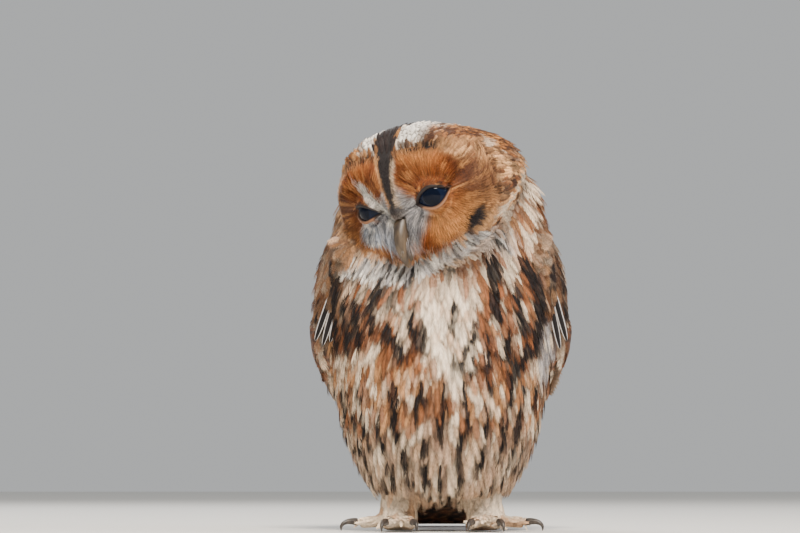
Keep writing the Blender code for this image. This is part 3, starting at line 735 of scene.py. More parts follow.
# %% Lids
rim_width = smooth(2.1 - lid_margin, 0, 0.7)
above_eye = np.zeros(len(points))
nasal = np.zeros(len(points))
for _, side in SIDES:
    margin, across, along = lid_place(points, side)
    mine = margin < 12
    above_eye = np.where(mine, smooth(across, 0.0, 1.5), above_eye)
    nasal = np.where(mine, smooth(-along, 7.0, 9.5), nasal)
bare = np.clip(rim_width, 0, 1) * share["head"]
lid_tint = mix(np.tile(LID_TAN, (len(points), 1)), LID_BROWN, above_eye)
lid_tint = mix(lid_tint, LID_BROWN, np.clip(nasal + smooth(-lid_margin, -0.5, 0.2), 0, 1))
tint = mix(tint, lid_tint, bare)
print("mean colour of the coat:", tint.mean(0).round(3))

# %% [markdown]
# ## The lie of the coat
# Feathers grow backwards and downwards like roof tiles. On the face they spread out from the eyes and
# from the root of the bill, behind the rim they sweep back over the crown, and on the body they hang
# down. Each point also gets the width and length of the feathers that grow there.

# %% Directions
sign = np.where(side_x > 0, 1.0, -1.0)
from_eye = unit(np.stack([side_x - sign * EYE_SIDE, np.zeros(len(points)), up_z - EYE_HEIGHT], 1))
from_bill = unit(np.stack([side_x * 1.25, np.zeros(len(points)), up_z + 7.5], 1))
upward = np.stack([0.25 * sign, np.zeros(len(points)), np.ones(len(points))], 1)
from_eye[:, 2] -= 0.7 * smooth(16 - lean, 0, 8) * smooth(-up_z, -2, 12)
facing = mix(from_eye, from_bill, smooth(9 - lean, 0, 5) * smooth(-up_z, 4, 12))
over_bill = np.stack([0.5 * np.sign(side_x), np.zeros(len(points)), -np.ones(len(points))], 1)
facing = mix(facing, over_bill, smooth(9 - lean, 0, 3) * smooth(-up_z, -1, 6))
facing = mix(facing, upward, smooth(stripe_half + 1.0 - lean, 0, 1.5) * smooth(up_z, -16, -10))
swept = np.stack([0.45 * side_x / FACE_HALF_WIDTH, 0.9 + 0 * lean, -0.15 - 1.1 * smooth(back_y, -6, 42)], 1)
head_lie = mix(facing, swept, np.maximum(smooth(disc_out, 0.93, 1.08), 1 - frontness))
head_lie = head_lie @ HEAD_AXES.T
body_lie = np.stack([0.16 * x / 60, 0.22 + 0.25 * (1 - forward), -np.ones(len(points))], 1)
wing_side = np.where(x > 0, 1.0, -1.0)
low_wing = smooth(-z, -135, -60)
wing_lie = np.stack([wing_side * (0.05 - 0.4 * low_wing), 0.62 + 0.1 * low_wing, -0.78 + 0.15 * low_wing], 1)
tail_lie = np.tile([0.0, 1.0, -0.3], (len(points), 1))
leg_lie = np.tile([0.0, 0.0, -1.0], (len(points), 1))
ankle_x = np.where(x > 0, ankles[0].x, ankles[1].x) / MM
foot_lie = unit(np.stack([x - ankle_x, y + ANKLES_AHEAD, -0.2 + 0 * x], 1))
lie = (share["head"][:, None] * head_lie + np.clip(share["trunk"] + share["neck"], 0, 1)[:, None] * body_lie
       + share["wings"][:, None] * wing_lie + share["tail"][:, None] * tail_lie
       + share["legs"][:, None] * leg_lie + share["feet"][:, None] * foot_lie)
lie -= normals * np.sum(lie * normals, 1)[:, None]
lie = unit(relaxed(lie, edges, 2))

# %% Sizes
PLUME_SIZE = {"head": (7.0, 13.0), "neck": (5.2, 14.0), "trunk": (5.2, 15.0), "wings": (8.0, 14.0),
              "tail": (11.0, 20.0), "legs": (4.0, 9.0), "feet": (2.6, 5.5)}
wide = sum(share[part] * size[0] for part, size in PLUME_SIZE.items())
long = sum(share[part] * size[1] for part, size in PLUME_SIZE.items())
outside = loose_head * (1 - back_of_head)
wide = wide + (3.8 - wide) * outside
long = long + (6.0 + 4.0 * smooth(lean, 30, 50) - long) * outside
small = smooth(lid_margin, 14, 3) * on_disc
face_long = (10.5 - 6.5 * small + 3.0 * in_lores * (1 - small)) * (1 - 0.5 * smooth(disc_out, 0.55, 0.85))
wide = wide + (2.4 - wide) * on_disc
beside_stripe = np.where(up_z > -13, np.maximum(2.8, 1.0 * (beside + 1.0)), 20.0)
face_long = np.minimum(face_long, beside_stripe)
long = long + (face_long - long) * on_disc
wide = wide + (3.6 - wide) * collar
long = long + (9.5 - long) * collar
shoulder = smooth(np.abs(x), 54, 62) * smooth(z, 146, 154) * smooth(-y, 2, 12)
long = long * (1 - 0.5 * shoulder)
size = np.stack([wide, long, long], 1) * MM
print("feather length:", long.min().round(1), "to", long.max().round(1), "mm")

# %% Where each kind of feather grows
bald = smooth(lid_margin + 0.8 * above_eye, 1.3, 2.0)
breast = (np.clip(on_body + share["wings"] * smooth(-y, -24, -8), 0, 1)
          * smooth(-y, -22, -6) * smooth(z, 66, 78))
wing_face = smooth(-y, -62, -44) * smooth(-z, -170, -156) * smooth(np.abs(normals[:, 0]), 0.35, 0.6)
cover = {
    "face_left": on_disc * bald * (side_x > 0),
    "face_right": on_disc * bald * (side_x <= 0),
    "bill": share["head"] * (lean < 7) * near(up_z, -16, 6) * frontness,
    "rim": share["head"] * near(disc_out, 0.97, 0.08) * frontness * (1 - in_stripe),
    "cap": loose_head * np.maximum(smooth(disc_out, 0.95, 1.0), 1 - frontness) * (1 - collar),
    "collar": collar,
    "breast_left": breast * (x > 0),
    "breast_right": breast * (x <= 0),
    "belly": on_body * smooth(-y, -22, -6) * smooth(-z, -78, -66),
    "back": on_body * smooth(y, 6, 22),
    "streak": np.clip(on_body + 0.8 * share["wings"], 0, 1) * forward * streaked * smooth(-y, -40, -20),
    "wing_left": share["wing_left"] * wing_face,
    "wing_right": share["wing_right"] * wing_face,
    "tail": share["tail"] * smooth(-y, -150, -110) * (1 - smooth(np.abs(x), 22, 30)),
    "leg": share["legs"],
    "toe": share["feet"] * smooth(normals[:, 2], -0.3, 0.1),
}


def keep_attribute(mesh, name, kind, values):
    """Stores one value for every point of the mesh."""
    layer = mesh.attributes.new(name, kind, "POINT")
    key = {"FLOAT": "value", "FLOAT_VECTOR": "vector", "FLOAT_COLOR": "color"}[kind]
    layer.data.foreach_set(key, np.asarray(values, np.float32).ravel())


keep_attribute(skin_mesh, "tint", "FLOAT_COLOR", np.c_[tint, np.ones(len(tint))])
keep_attribute(skin_mesh, "marks", "FLOAT_VECTOR", marks)
keep_attribute(skin_mesh, "rimmed", "FLOAT", rimmed)
keep_attribute(skin_mesh, "bare", "FLOAT", bare)
keep_attribute(skin_mesh, "lie", "FLOAT_VECTOR", lie)
keep_attribute(skin_mesh, "size", "FLOAT_VECTOR", size)
for name, share_there in cover.items():
    keep_attribute(skin_mesh, "cover_" + name, "FLOAT", np.clip(share_there, 0, 1) ** 1.5)
print("kinds of feather:", ", ".join(cover))

# %% [markdown]
# ## Feather patterns to copy
# A body feather is a shaft with barbs that leave it at a slant, and near the edge the barbs part and
# look like hair. So the pattern feather is made of narrow barb strips that curve forward to a point.
# Each pattern is about one unit long and no wider, lies along +Y, and keeps a "vane" attribute that
# says how far across and along the feather a point is. The face has bristles instead, in bundles.


# %% Barbed plume
def template(name, points, faces, vane):
    mesh = bpy.data.meshes.new(name)
    mesh.from_pydata(points, [], faces)
    keep_attribute(mesh, "vane", "FLOAT_VECTOR", np.array(vane))
    shade_smooth(mesh)
    obj = link(name, mesh)
    obj.hide_render = True
    return obj


def outline(along, fullness):
    """Half width of a feather at a place along it."""
    return 0.5 * np.sin(np.pi * min(along, 1.0) ** fullness) ** 0.6


def plume(name, barbs, fullness, slant, spread, droop, seed, width=1.0):
    """A feather of barb strips. Spread above 1 makes the strips overlap, below 1 parts them."""
    random = np.random.default_rng(seed)
    points, faces, vane = [], [], []

    def height(across, along):
        return 0.16 * along - droop * along ** 2 - 0.55 * across ** 2

    for side in (-1, 1):
        for i in range(barbs):
            start = 0.03 + 0.90 * i / barbs
            broad = spread * 0.9 / barbs
            end = min(start + slant * (1.1 - 0.4 * start) + random.uniform(-0.02, 0.03), 1.04)
            half = outline(0.12 + 0.80 * (start + 0.6 * slant), fullness) * random.uniform(0.82, 1.08)
            tone = random.uniform(0, 1)
            lift = random.uniform(-0.012, 0.012)
            rows = ((0.0, 0.0, 1.0), (0.6, 0.45, 0.8))
            first = len(points)
            for out, forward, fat in rows:
                for step in (0, 1):
                    across = side * half * out
                    along = start + (end - start) * forward + step * broad * fat
                    points.append((width * across, along, height(across, along) + lift * out * (1 + step)))
                    vane.append((side * out * min(2 * half, 1), along, tone))
            across, along = side * half, end + 0.3 * broad
            points.append((width * across, along, height(across, along) + 2 * lift))
            vane.append((side * min(2 * half, 1), along, tone))
            quad = (first, first + 2, first + 3, first + 1)
            tip = (first + 2, first + 4, first + 3)
            faces += [quad, tip] if side > 0 else [quad[::-1], tip[::-1]]
    first = len(points)
    for across, along in ((-0.05, 0.0), (0.05, 0.0), (0.035, 0.62), (-0.035, 0.62), (0.0, 1.02)):
        points.append((width * across, along, height(across, along) + 0.012))
        vane.append((across, along, 0.5))
    faces += [(first, first + 1, first + 2, first + 3), (first + 3, first + 2, first + 4)]
    return template(name, points, faces, vane)


soft_plume = plume("pattern_soft_plume", 15, 0.66, 0.42, 1.1, 0.20, 3)
cap_plume = plume("pattern_cap_plume", 12, 0.80, 0.28, 1.3, 0.22, 4)
covert = plume("pattern_covert", 13, 0.80, 0.22, 1.7, 0.20, 5)
hair_plume = plume("pattern_hair_plume", 11, 0.60, 0.46, 0.8, 0.16, 6)
streak_plume = plume("pattern_streak_plume", 12, 0.60, 0.42, 1.0, 0.18, 9, 0.62)
leg_tuft = plume("pattern_leg_tuft", 5, 0.75, 0.30, 1.3, 0.25, 7)


# %% Bristle bundle
def bristles(name, count, half_width, seed):
    """A bundle of fine three-sided bristles that fan out from one root."""
    random = np.random.default_rng(seed)
    points, faces, vane = [], [], []
    for i in range(count):
        root = np.array([random.uniform(-0.42, 0.42), random.uniform(0, 0.22), random.uniform(-0.02, 0.0)])
        length = random.uniform(0.68, 1.0)
        sway = root[0] * 0.5 + random.uniform(-0.22, 0.22)
        rise = random.uniform(0.06, 0.14)
        tone = random.uniform(0, 1)
        first = len(points)
        for along, fat in ((0.0, 1.0), (0.5, 0.8)):
            centre = root + (sway * along, length * along, rise * math.sin(2.9 * along) - 0.13 * along ** 2)
            for corner in range(3):
                angle = corner * math.tau / 3 + math.pi / 2
                offset = (half_width * fat * math.cos(angle), 0, 0.018 * fat * math.sin(angle))
                points.append(tuple(centre + offset))
                vane.append((centre[0], along, tone))
        centre = root + (sway, length, -0.12)
        points.append(tuple(centre))
        vane.append((centre[0], 1.0, tone))
        for corner in range(3):
            other = (corner + 1) % 3
            faces.append((first + corner, first + other, first + 3 + other, first + 3 + corner))
            faces.append((first + 3 + corner, first + 3 + other, first + 6))
    return template(name, points, faces, vane)


face_bristles = bristles("pattern_face_bristles", 7, 0.05, 8)
print("triangles in a plume:", triangles_in(soft_plume.data),
      "in a bristle bundle:", triangles_in(face_bristles.data))

# %% [markdown]
# ## Feather materials
# Feathers are keratin, dull and a little silky. The ground colour comes from the skin point where the
# feather grows. Fine noise that runs along the barbs breaks it up, and the feather's own streak, bars
# and pale edge are drawn from how far across and along the vane a point lies.


# %% Plume material
def attribute(tree, name):
    return add(tree, "ShaderNodeAttribute", attribute_name=name, attribute_type="GEOMETRY")


def plumage(name, dark, pale, streak_from, streak_to, barb_count, edge_from=0.45, edge_to=0.85,
            bar_rate=34.0, bar_drift=11.0):
    """Keratin with a dark shaft streak, cross-bars and a pale edge, each as strong as "marks" says,
    and a dark rim as strong as "rimmed" says."""
    material, tree, shader = new_material(name)
    vane = add(tree, "ShaderNodeSeparateXYZ", {"Vector": attribute(tree, "vane").outputs["Vector"]})
    marks = add(tree, "ShaderNodeSeparateXYZ", {"Vector": attribute(tree, "marks").outputs["Vector"]})
    chance = attribute(tree, "chance").outputs["Fac"]
    across = add(tree, "ShaderNodeMath", {"Value": vane.outputs["X"]}, operation="ABSOLUTE").outputs[0]
    along = vane.outputs["Y"]
    slanted = add(tree, "ShaderNodeMath", {"Value": across, "Value_001": -0.3, "Value_002": along},
                  operation="MULTIPLY_ADD").outputs[0]
    barb_place = add(tree, "ShaderNodeCombineXYZ", {"X": slanted, "Y": across, "Z": chance}).outputs[0]
    barb_scale = add(tree, "ShaderNodeVectorMath", {
        "Vector": barb_place, "Vector_001": (barb_count, 1.5, 40)}, operation="MULTIPLY").outputs[0]
    barbs = add(tree, "ShaderNodeTexNoise", {
        "Vector": barb_scale, "Scale": 1.0, "Detail": 2.0}).outputs["Fac"]
    bright = add(tree, "ShaderNodeMapRange", {"Value": barbs, "From Min": 0.3, "From Max": 0.7,
                                              "To Min": 0.70, "To Max": 1.20}).outputs[0]
    mixed = add(tree, "ShaderNodeMath", {"Value": vane.outputs["Z"], "Value_001": chance}).outputs[0]
    varied = add(tree, "ShaderNodeMapRange", {"Value": mixed, "From Max": 2.0, "To Min": 0.66,
                                              "To Max": 1.36}).outputs[0]
    # Painted shade: each feather is darker towards its root, where the feathers over it cover it.
    rooted = add(tree, "ShaderNodeMapRange", {"Value": along, "From Min": 0.1, "From Max": 0.7,
                                              "To Min": 0.66, "To Max": 1.08}).outputs[0]
    light = product(tree, product(tree, bright, varied), rooted)
    ground = add(tree, "ShaderNodeVectorMath", {"Vector": attribute(tree, "tint").outputs["Color"],
                                                "Scale": light}, operation="SCALE").outputs[0]
    at_edge = add(tree, "ShaderNodeMapRange", {"Value": across, "From Min": edge_from, "From Max": edge_to},
                  interpolation_type="SMOOTHSTEP").outputs[0]
    edge = product(tree, at_edge, marks.outputs["Z"])
    edged = add(tree, "ShaderNodeMix", {"Factor_Float": edge, "A_Color": ground, "B_Color": (*pale, 1)},
                data_type="RGBA").outputs[2]
    ragged = add(tree, "ShaderNodeMath", {"Value": barbs, "Value_001": 0.28, "Value_002": across},
                 operation="MULTIPLY_ADD").outputs[0]
    at_shaft = add(tree, "ShaderNodeMapRange", {
        "Value": ragged, "From Min": streak_to, "From Max": streak_from, "To Min": 0.0, "To Max": 1.0},
        interpolation_type="SMOOTHSTEP").outputs[0]
    streak = product(tree, at_shaft, marks.outputs["X"])
    start = product(tree, chance, bar_drift)
    wave = add(tree, "ShaderNodeMath", {"Value": ragged, "Value_001": 2.6, "Value_002": start},
               operation="MULTIPLY_ADD").outputs[0]
    phase = add(tree, "ShaderNodeMath", {"Value": along, "Value_001": bar_rate, "Value_002": wave},
                operation="MULTIPLY_ADD").outputs[0]
    ripple = add(tree, "ShaderNodeMath", {"Value": phase}, operation="SINE").outputs[0]
    barred = add(tree, "ShaderNodeMapRange", {"Value": ripple, "From Min": 0.1, "From Max": 0.7,
                                              "To Min": 0.0, "To Max": 0.85},
                 interpolation_type="SMOOTHSTEP").outputs[0]
    inked = larger(tree, streak, product(tree, barred, marks.outputs["Y"]))
    at_tip = add(tree, "ShaderNodeMapRange", {"Value": along, "From Min": 0.84, "From Max": 0.96},
                 interpolation_type="SMOOTHSTEP").outputs[0]
    rim = product(tree, larger(tree, at_edge, at_tip), attribute(tree, "rimmed").outputs["Fac"])
    inked = larger(tree, inked, rim)
    final = add(tree, "ShaderNodeMix", {"Factor_Float": inked, "A_Color": edged, "B_Color": (*dark, 1)},
                data_type="RGBA").outputs[2]
    tree.links.new(final, shader.inputs["Base Color"])
    relief = add(tree, "ShaderNodeBump", {"Height": barbs, "Strength": 0.35, "Distance": 0.0004}).outputs[0]
    tree.links.new(relief, shader.inputs["Normal"])
    shader.inputs["Roughness"].default_value = 0.62
    shader.inputs["IOR"].default_value = 1.54
    shader.inputs["Specular IOR Level"].default_value = 0.2
    return material


soft_keratin = plumage("soft_body_feather_keratin", DARK, CREAM, 0.06, 0.26, 26)
streak_keratin = plumage("dark_streak_feather_keratin", DARK, BUFF, 0.70, 0.98, 20)
cap_keratin = plumage("crown_feather_keratin", RIM_DARK, CREAM, 0.10, 0.34, 20)
covert_keratin = plumage("wing_covert_keratin", DARK, CREAM, 0.08, 0.26, 30)
edged_keratin = plumage("white_edged_primary_keratin", DARK, SILVER, 0.02, 0.07, 60, 0.62, 0.8)
flight_keratin = plumage("flight_feather_keratin", RIM_DARK, WHITE, 0.02, 0.07, 60, 0.86, 0.95, 40.0, 1.6)
print("feather materials:", soft_keratin.name, cap_keratin.name, covert_keratin.name)


# %% Bristle material
def bristle_material(name):
    """Hair-like keratin: the root is shaded, the tip catches the light, and bundles differ a little."""
    material, tree, shader = new_material(name)
    vane = add(tree, "ShaderNodeSeparateXYZ", {"Vector": attribute(tree, "vane").outputs["Vector"]})
    chance = attribute(tree, "chance").outputs["Fac"]
    strand = add(tree, "ShaderNodeCombineXYZ", {"X": vane.outputs["X"], "Z": chance}).outputs[0]
    strand = add(tree, "ShaderNodeVectorMath", {"Vector": strand, "Vector_001": (7, 1, 53)},
                 operation="MULTIPLY").outputs[0]
    uneven = add(tree, "ShaderNodeTexNoise", {"Vector": strand, "Scale": 1.0, "Detail": 1.0}).outputs["Fac"]
    mixed = add(tree, "ShaderNodeMath", {"Value": vane.outputs["Z"], "Value_001": uneven}).outputs[0]
    varied = add(tree, "ShaderNodeMapRange", {"Value": mixed, "From Min": 0.35, "From Max": 1.65,
                                              "To Min": 0.4, "To Max": 1.6}).outputs[0]
    rooted = add(tree, "ShaderNodeMapRange", {
        "Value": vane.outputs["Y"], "To Min": 0.7, "To Max": 1.15}).outputs[0]
    light = product(tree, varied, rooted)
    ground = add(tree, "ShaderNodeVectorMath", {"Vector": attribute(tree, "tint").outputs["Color"],
                                                "Scale": light}, operation="SCALE").outputs[0]
    tree.links.new(ground, shader.inputs["Base Color"])
    shader.inputs["Roughness"].default_value = 0.5
    shader.inputs["IOR"].default_value = 1.54
    shader.inputs["Specular IOR Level"].default_value = 0.35
    return material


hair_keratin = bristle_material("face_bristle_keratin")


# %% Skin material
def skin_material(name):
    """Down and skin seen between the feathers: their colour, darker in the gaps, and bare moist lids."""
    material, tree, shader = new_material(name)
    where = add(tree, "ShaderNodeTexCoord").outputs["Object"]
    bare = attribute(tree, "bare").outputs["Fac"]
    fluff = add(tree, "ShaderNodeTexNoise", {"Vector": where, "Scale": 900.0, "Detail": 3.0}).outputs["Fac"]
    shade = add(tree, "ShaderNodeMapRange", {"Value": fluff, "From Min": 0.3, "From Max": 0.7,
                                             "To Min": 0.35, "To Max": 0.8}).outputs[0]
    lit = add(tree, "ShaderNodeMapRange", {"Value": fluff, "To Min": 0.9, "To Max": 1.1}).outputs[0]
    light = add(tree, "ShaderNodeMix", {"Factor_Float": bare, "A_Float": shade, "B_Float": lit},
                data_type="FLOAT").outputs[0]
    ground = add(tree, "ShaderNodeVectorMath", {"Vector": attribute(tree, "tint").outputs["Color"],
                                                "Scale": light}, operation="SCALE").outputs[0]
    tree.links.new(ground, shader.inputs["Base Color"])
    rough = add(tree, "ShaderNodeMapRange", {"Value": bare, "To Min": 0.85, "To Max": 0.65}).outputs[0]
    tree.links.new(rough, shader.inputs["Roughness"])
    relief = add(tree, "ShaderNodeBump", {"Height": fluff, "Strength": 0.5, "Distance": 0.0003}).outputs[0]
    tree.links.new(relief, shader.inputs["Normal"])
    return material


skin_mesh.materials.append(skin_material("down_and_bare_lid_skin"))

# %% [markdown]
# ## Growing the feathers
# One Geometry Nodes tree plants every kind. It scatters points on the skin where that kind grows,
# stands a copy of the pattern on each with its back to the skin and its tip along the lie of the
# coat, and makes them real mesh. Last it writes the bake map: each feather gets a patch about
# 0.003 across at its root's place on the skin's unwrap.


# %% The planting tree
BAKE_PATCH = 0.003


def planting_tree():
    tree = bpy.data.node_groups.new("plant_feathers", "GeometryNodeTree")
    sockets = (("Skin", "Geometry"), ("Pattern", "Object"), ("Cover", "String"), ("Spacing", "Float"),
               ("Lift", "Float"), ("Twist", "Float"), ("Scale", "Float"), ("Seed", "Int"),
               ("Material", "Material"))
    for name, kind in sockets:
        tree.interface.new_socket(name, in_out="INPUT", socket_type="NodeSocket" + kind)
    tree.interface.new_socket("Feathers", in_out="OUTPUT", socket_type="NodeSocketGeometry")
    given = add(tree, "NodeGroupInput").outputs

    def named(name, kind):
        return add(tree, "GeometryNodeInputNamedAttribute", {"Name": name}, data_type=kind).outputs[0]

    spaced = product(tree, given["Spacing"], given["Spacing"])
    dense = add(tree, "ShaderNodeMath", {"Value": 3.0, "Value_001": spaced}, operation="DIVIDE").outputs[0]
    grows = named(given["Cover"], "FLOAT")
    planted = add(tree, "GeometryNodeDistributePointsOnFaces", {
        "Mesh": given["Skin"], "Distance Min": given["Spacing"], "Density Max": dense,
        "Density Factor": grows, "Seed": given["Seed"]}, distribute_method="POISSON")
    rooted = add(tree, "GeometryNodeStoreNamedAttribute", {
        "Geometry": planted.outputs["Points"], "Name": "root", "Value": named(UV_MAP, "FLOAT_VECTOR")},
        data_type="FLOAT_VECTOR", domain="POINT").outputs[0]
    cleared = add(tree, "GeometryNodeRemoveAttribute", {"Geometry": rooted, "Name": UV_MAP}).outputs[0]
    luck = add(tree, "FunctionNodeRandomValue", {"Seed": given["Seed"]}, data_type="FLOAT").outputs[1]
    chanced = add(tree, "GeometryNodeStoreNamedAttribute", {
        "Geometry": cleared, "Name": "chance", "Value": luck}, data_type="FLOAT", domain="POINT").outputs[0]
    upright = add(tree, "FunctionNodeAxesToRotation", {
        "Primary Axis": planted.outputs["Normal"], "Secondary Axis": named("lie", "FLOAT_VECTOR")},
        primary_axis="Z", secondary_axis="Y").outputs[0]
    wobble = add(tree, "FunctionNodeRandomValue", {
        "Min": (-0.4, -1, -1), "Max": (0.6, 1, 1), "Seed": given["Seed"]},
        data_type="FLOAT_VECTOR").outputs[0]
    amount = add(tree, "ShaderNodeCombineXYZ", {axis: given["Twist"] for axis in "XYZ"}).outputs[0]
    base = add(tree, "ShaderNodeCombineXYZ", {"X": given["Lift"]}).outputs[0]
    turn = add(tree, "ShaderNodeVectorMath", {"Vector": wobble, "Vector_001": amount, "Vector_002": base},
               operation="MULTIPLY_ADD").outputs[0]
    turned = add(tree, "FunctionNodeEulerToRotation", {"Euler": turn}).outputs[0]
    posed = add(tree, "FunctionNodeRotateRotation", {"Rotation": upright, "Rotate By": turned},
                rotation_space="LOCAL").outputs[0]
    differ = add(tree, "FunctionNodeRandomValue", {"Min_001": 0.82, "Max_001": 1.18, "Seed": given["Seed"]},
                 data_type="FLOAT").outputs[1]
    grown = product(tree, differ, given["Scale"])
    sized = add(tree, "ShaderNodeVectorMath", {"Vector": named("size", "FLOAT_VECTOR"), "Scale": grown},
                operation="SCALE").outputs[0]
    pattern = add(tree, "GeometryNodeObjectInfo", {"Object": given["Pattern"]}).outputs["Geometry"]
    copies = add(tree, "GeometryNodeInstanceOnPoints", {
        "Points": chanced, "Instance": pattern, "Rotation": posed, "Scale": sized}).outputs[0]
    real = add(tree, "GeometryNodeRealizeInstances", {"Geometry": copies}).outputs[0]
    spread = add(tree, "ShaderNodeVectorMath", {
        "Vector": named("vane", "FLOAT_VECTOR"), "Vector_001": (BAKE_PATCH / 2, BAKE_PATCH, 0),
        "Vector_002": (0, -BAKE_PATCH / 2, 0)}, operation="MULTIPLY_ADD").outputs[0]
    mapped = add(tree, "ShaderNodeVectorMath", {
        "Vector": spread, "Vector_001": named("root", "FLOAT_VECTOR")}, operation="ADD").outputs[0]
    baked = add(tree, "GeometryNodeStoreNamedAttribute", {"Geometry": real, "Name": UV_MAP, "Value": mapped},
                data_type="FLOAT2", domain="CORNER").outputs[0]
    dressed = add(tree, "GeometryNodeSetMaterial", {
        "Geometry": baked, "Material": given["Material"]}).outputs[0]
    add(tree, "NodeGroupOutput", {"Socket_9": dressed})
    return tree


PLANTING = planting_tree()
FLOOR_GAP = 0.15
SPENT = ("root", "lie", "size", "bare") + tuple("cover_" + name for name in cover)
pieces = []


def plant(name, pattern, kind, spacing, lift, twist, material, slot, seed, scale=1.0):
    """Grows one piece of the coat and returns it as a plain mesh object."""
    carrier = link("carrier", skin_mesh)
    modifier = carrier.modifiers.new("plant", "NODES")
    modifier.node_group = PLANTING
    wanted = {"Pattern": pattern, "Cover": "cover_" + kind, "Spacing": spacing * MM,
              "Lift": math.radians(lift), "Twist": math.radians(twist), "Scale": scale, "Seed": seed,
              "Material": material}
    for item in PLANTING.interface.items_tree:
        if item.name in wanted:
            modifier[item.identifier] = wanted[item.name]
    mesh = evaluated_mesh(carrier)
    bpy.data.objects.remove(carrier)
    mesh.name = name
    above_floor = points_of(mesh)
    above_floor[:, 2] = np.maximum(above_floor[:, 2], FLOOR_GAP)
    put_points(mesh, above_floor)
    for spent in SPENT:
        if spent in mesh.attributes:
            mesh.attributes.remove(mesh.attributes[spent])
    piece = link(name, mesh)
    pieces.append((piece, slot))
    print(f"{name}: {triangles_in(mesh)} triangles, maps {[layer.name for layer in mesh.uv_layers]}")
    return piece


# %% Plant the head
plant("face_bristles_left", face_bristles, "face_left", 1.08, 6, 8, hair_keratin, "rufous_feathers", 1)
plant("face_bristles_right", face_bristles, "face_right", 1.08, 6, 8, hair_keratin, "rufous_feathers", 21)
plant("rim_feathers", hair_plume, "rim", 1.4, 6, 8, cap_keratin, "rufous_feathers", 2, 0.75)
plant("bill_bristles", face_bristles, "bill", 1.1, 22, 12, hair_keratin, "rufous_feathers", 22, 1.25)
plant("cap_feathers", cap_plume, "cap", 2.0, 11, 9, cap_keratin, "rufous_feathers", 3)
plant("collar_feathers", hair_plume, "collar", 1.6, 12, 12, soft_keratin, "buff_feathers", 4)

# %% Plant the body
plant("breast_feathers_left", soft_plume, "breast_left", 2.4, 9, 10, soft_keratin, "buff_feathers", 5)
plant("breast_feathers_right", soft_plume, "breast_right", 2.4, 9, 10, soft_keratin, "buff_feathers", 25)
plant("streak_feathers", streak_plume, "streak", 2.1, 15, 6, streak_keratin, "brown_feathers", 13, 0.85)
plant("belly_feathers", soft_plume, "belly", 2.9, 9, 10, soft_keratin, "buff_feathers", 6)
plant("back_feathers", soft_plume, "back", 3.1, 8, 8, soft_keratin, "buff_feathers", 7)
plant("wing_coverts_left", covert, "wing_left", 3.6, 7, 6, covert_keratin, "brown_feathers", 8)
plant("wing_coverts_right", covert, "wing_right", 3.6, 7, 6, covert_keratin, "brown_feathers", 9)
plant("tail_coverts", covert, "tail", 5.0, 5, 6, covert_keratin, "brown_feathers", 10)
plant("leg_feathers", leg_tuft, "leg", 2.0, 12, 12, soft_keratin, "cream_feathers", 11)
plant("toe_feathers", leg_tuft, "toe", 1.4, 8, 10, soft_keratin, "cream_feathers", 12)

# %% [markdown]
# ## Flight and tail feathers
# The long feathers of the folded wing and the tail are closed vanes that lie on one another like the
# leaves of a fan. Each is laid on the skin: its midline runs from a root to a tip across the wing, a
# row of points crosses it at each step, and every point is dropped onto the skin and lifted by the
# feather's own layer. The inner feathers lie over the outer ones, as on a live owl.

# %% A vane laid on the skin
ACROSS = np.linspace(-1, 1, 9)
ALONG = np.linspace(0, 1, 27)
RAY_START, RAY_REACH = 45, 75
skin_points = points_of(skin_mesh)
skin_tree = BVHTree.FromPolygons([tuple(p) for p in skin_points],
                                 [tuple(f.vertices) for f in skin_mesh.polygons])
face_uv = np.empty(len(skin_mesh.loops) * 2)
skin_mesh.uv_layers[UV_MAP].data.foreach_get("uv", face_uv)
face_uv = face_uv.reshape(-1, 2)


def laid_vane(surface, root, tip, half_width, layer, pointed):
    """Grid of points of one feather in mm, and the unwrap place of its root."""
    grid = np.zeros((len(ALONG), len(ACROSS), 3))
    facing_out = np.zeros((len(ALONG), 3))
    for i, along in enumerate(ALONG):
        here, outward = surface(*(root + (tip - root) * along))
        ahead, _ = surface(*(root + (tip - root) * (along + 0.02)))
        sideways = np.cross(unit(ahead - here), outward)
        taper = np.sqrt(max(1 - (max(along - pointed, 0) / (1 - pointed)) ** 2, 0))
        half = half_width * min(0.45 + 2.5 * along, 1) * taper
        grid[i] = here + ACROSS[:, None] * half * sideways
        facing_out[i] = outward
    drop = np.zeros(grid.shape[:2])
    for i, j in np.ndindex(*drop.shape):
        start = grid[i, j] + RAY_START * facing_out[i]
        hit = skin_tree.ray_cast(start.tolist(), (-facing_out[i]).tolist())[3]
        drop[i, j] = RAY_START - hit if hit is not None and hit < RAY_REACH else np.nan
    level = np.nanmedian(drop) if np.isfinite(drop).any() else 0
    for i in range(len(drop)):
        known = np.isfinite(drop[i])
        if known.sum() > 1:
            drop[i] = np.interp(ACROSS, ACROSS[known], drop[i][known])
        else:
            drop[i] = drop[i - 1] if i else level
    for _ in range(3):
        drop[1:-1] = (drop[:-2] + 2 * drop[1:-1] + drop[2:]) / 4
        drop[:, 1:-1] = (drop[:, :-2] + 2 * drop[:, 1:-1] + drop[:, 2:]) / 4
    tucked = np.clip(0.05 + 4 * ALONG, 0, 1)[:, None]
    height = drop + layer * tucked - 0.5 * ACROSS ** 2 + 0.25 * (np.abs(ACROSS) < 0.1)
    grid += height[:, :, None] * facing_out[:, None, :]
    nearest = skin_tree.find_nearest(grid[2, 4].tolist())[2]
    return grid, face_uv[skin_mesh.polygons[nearest].loop_indices].mean(0)


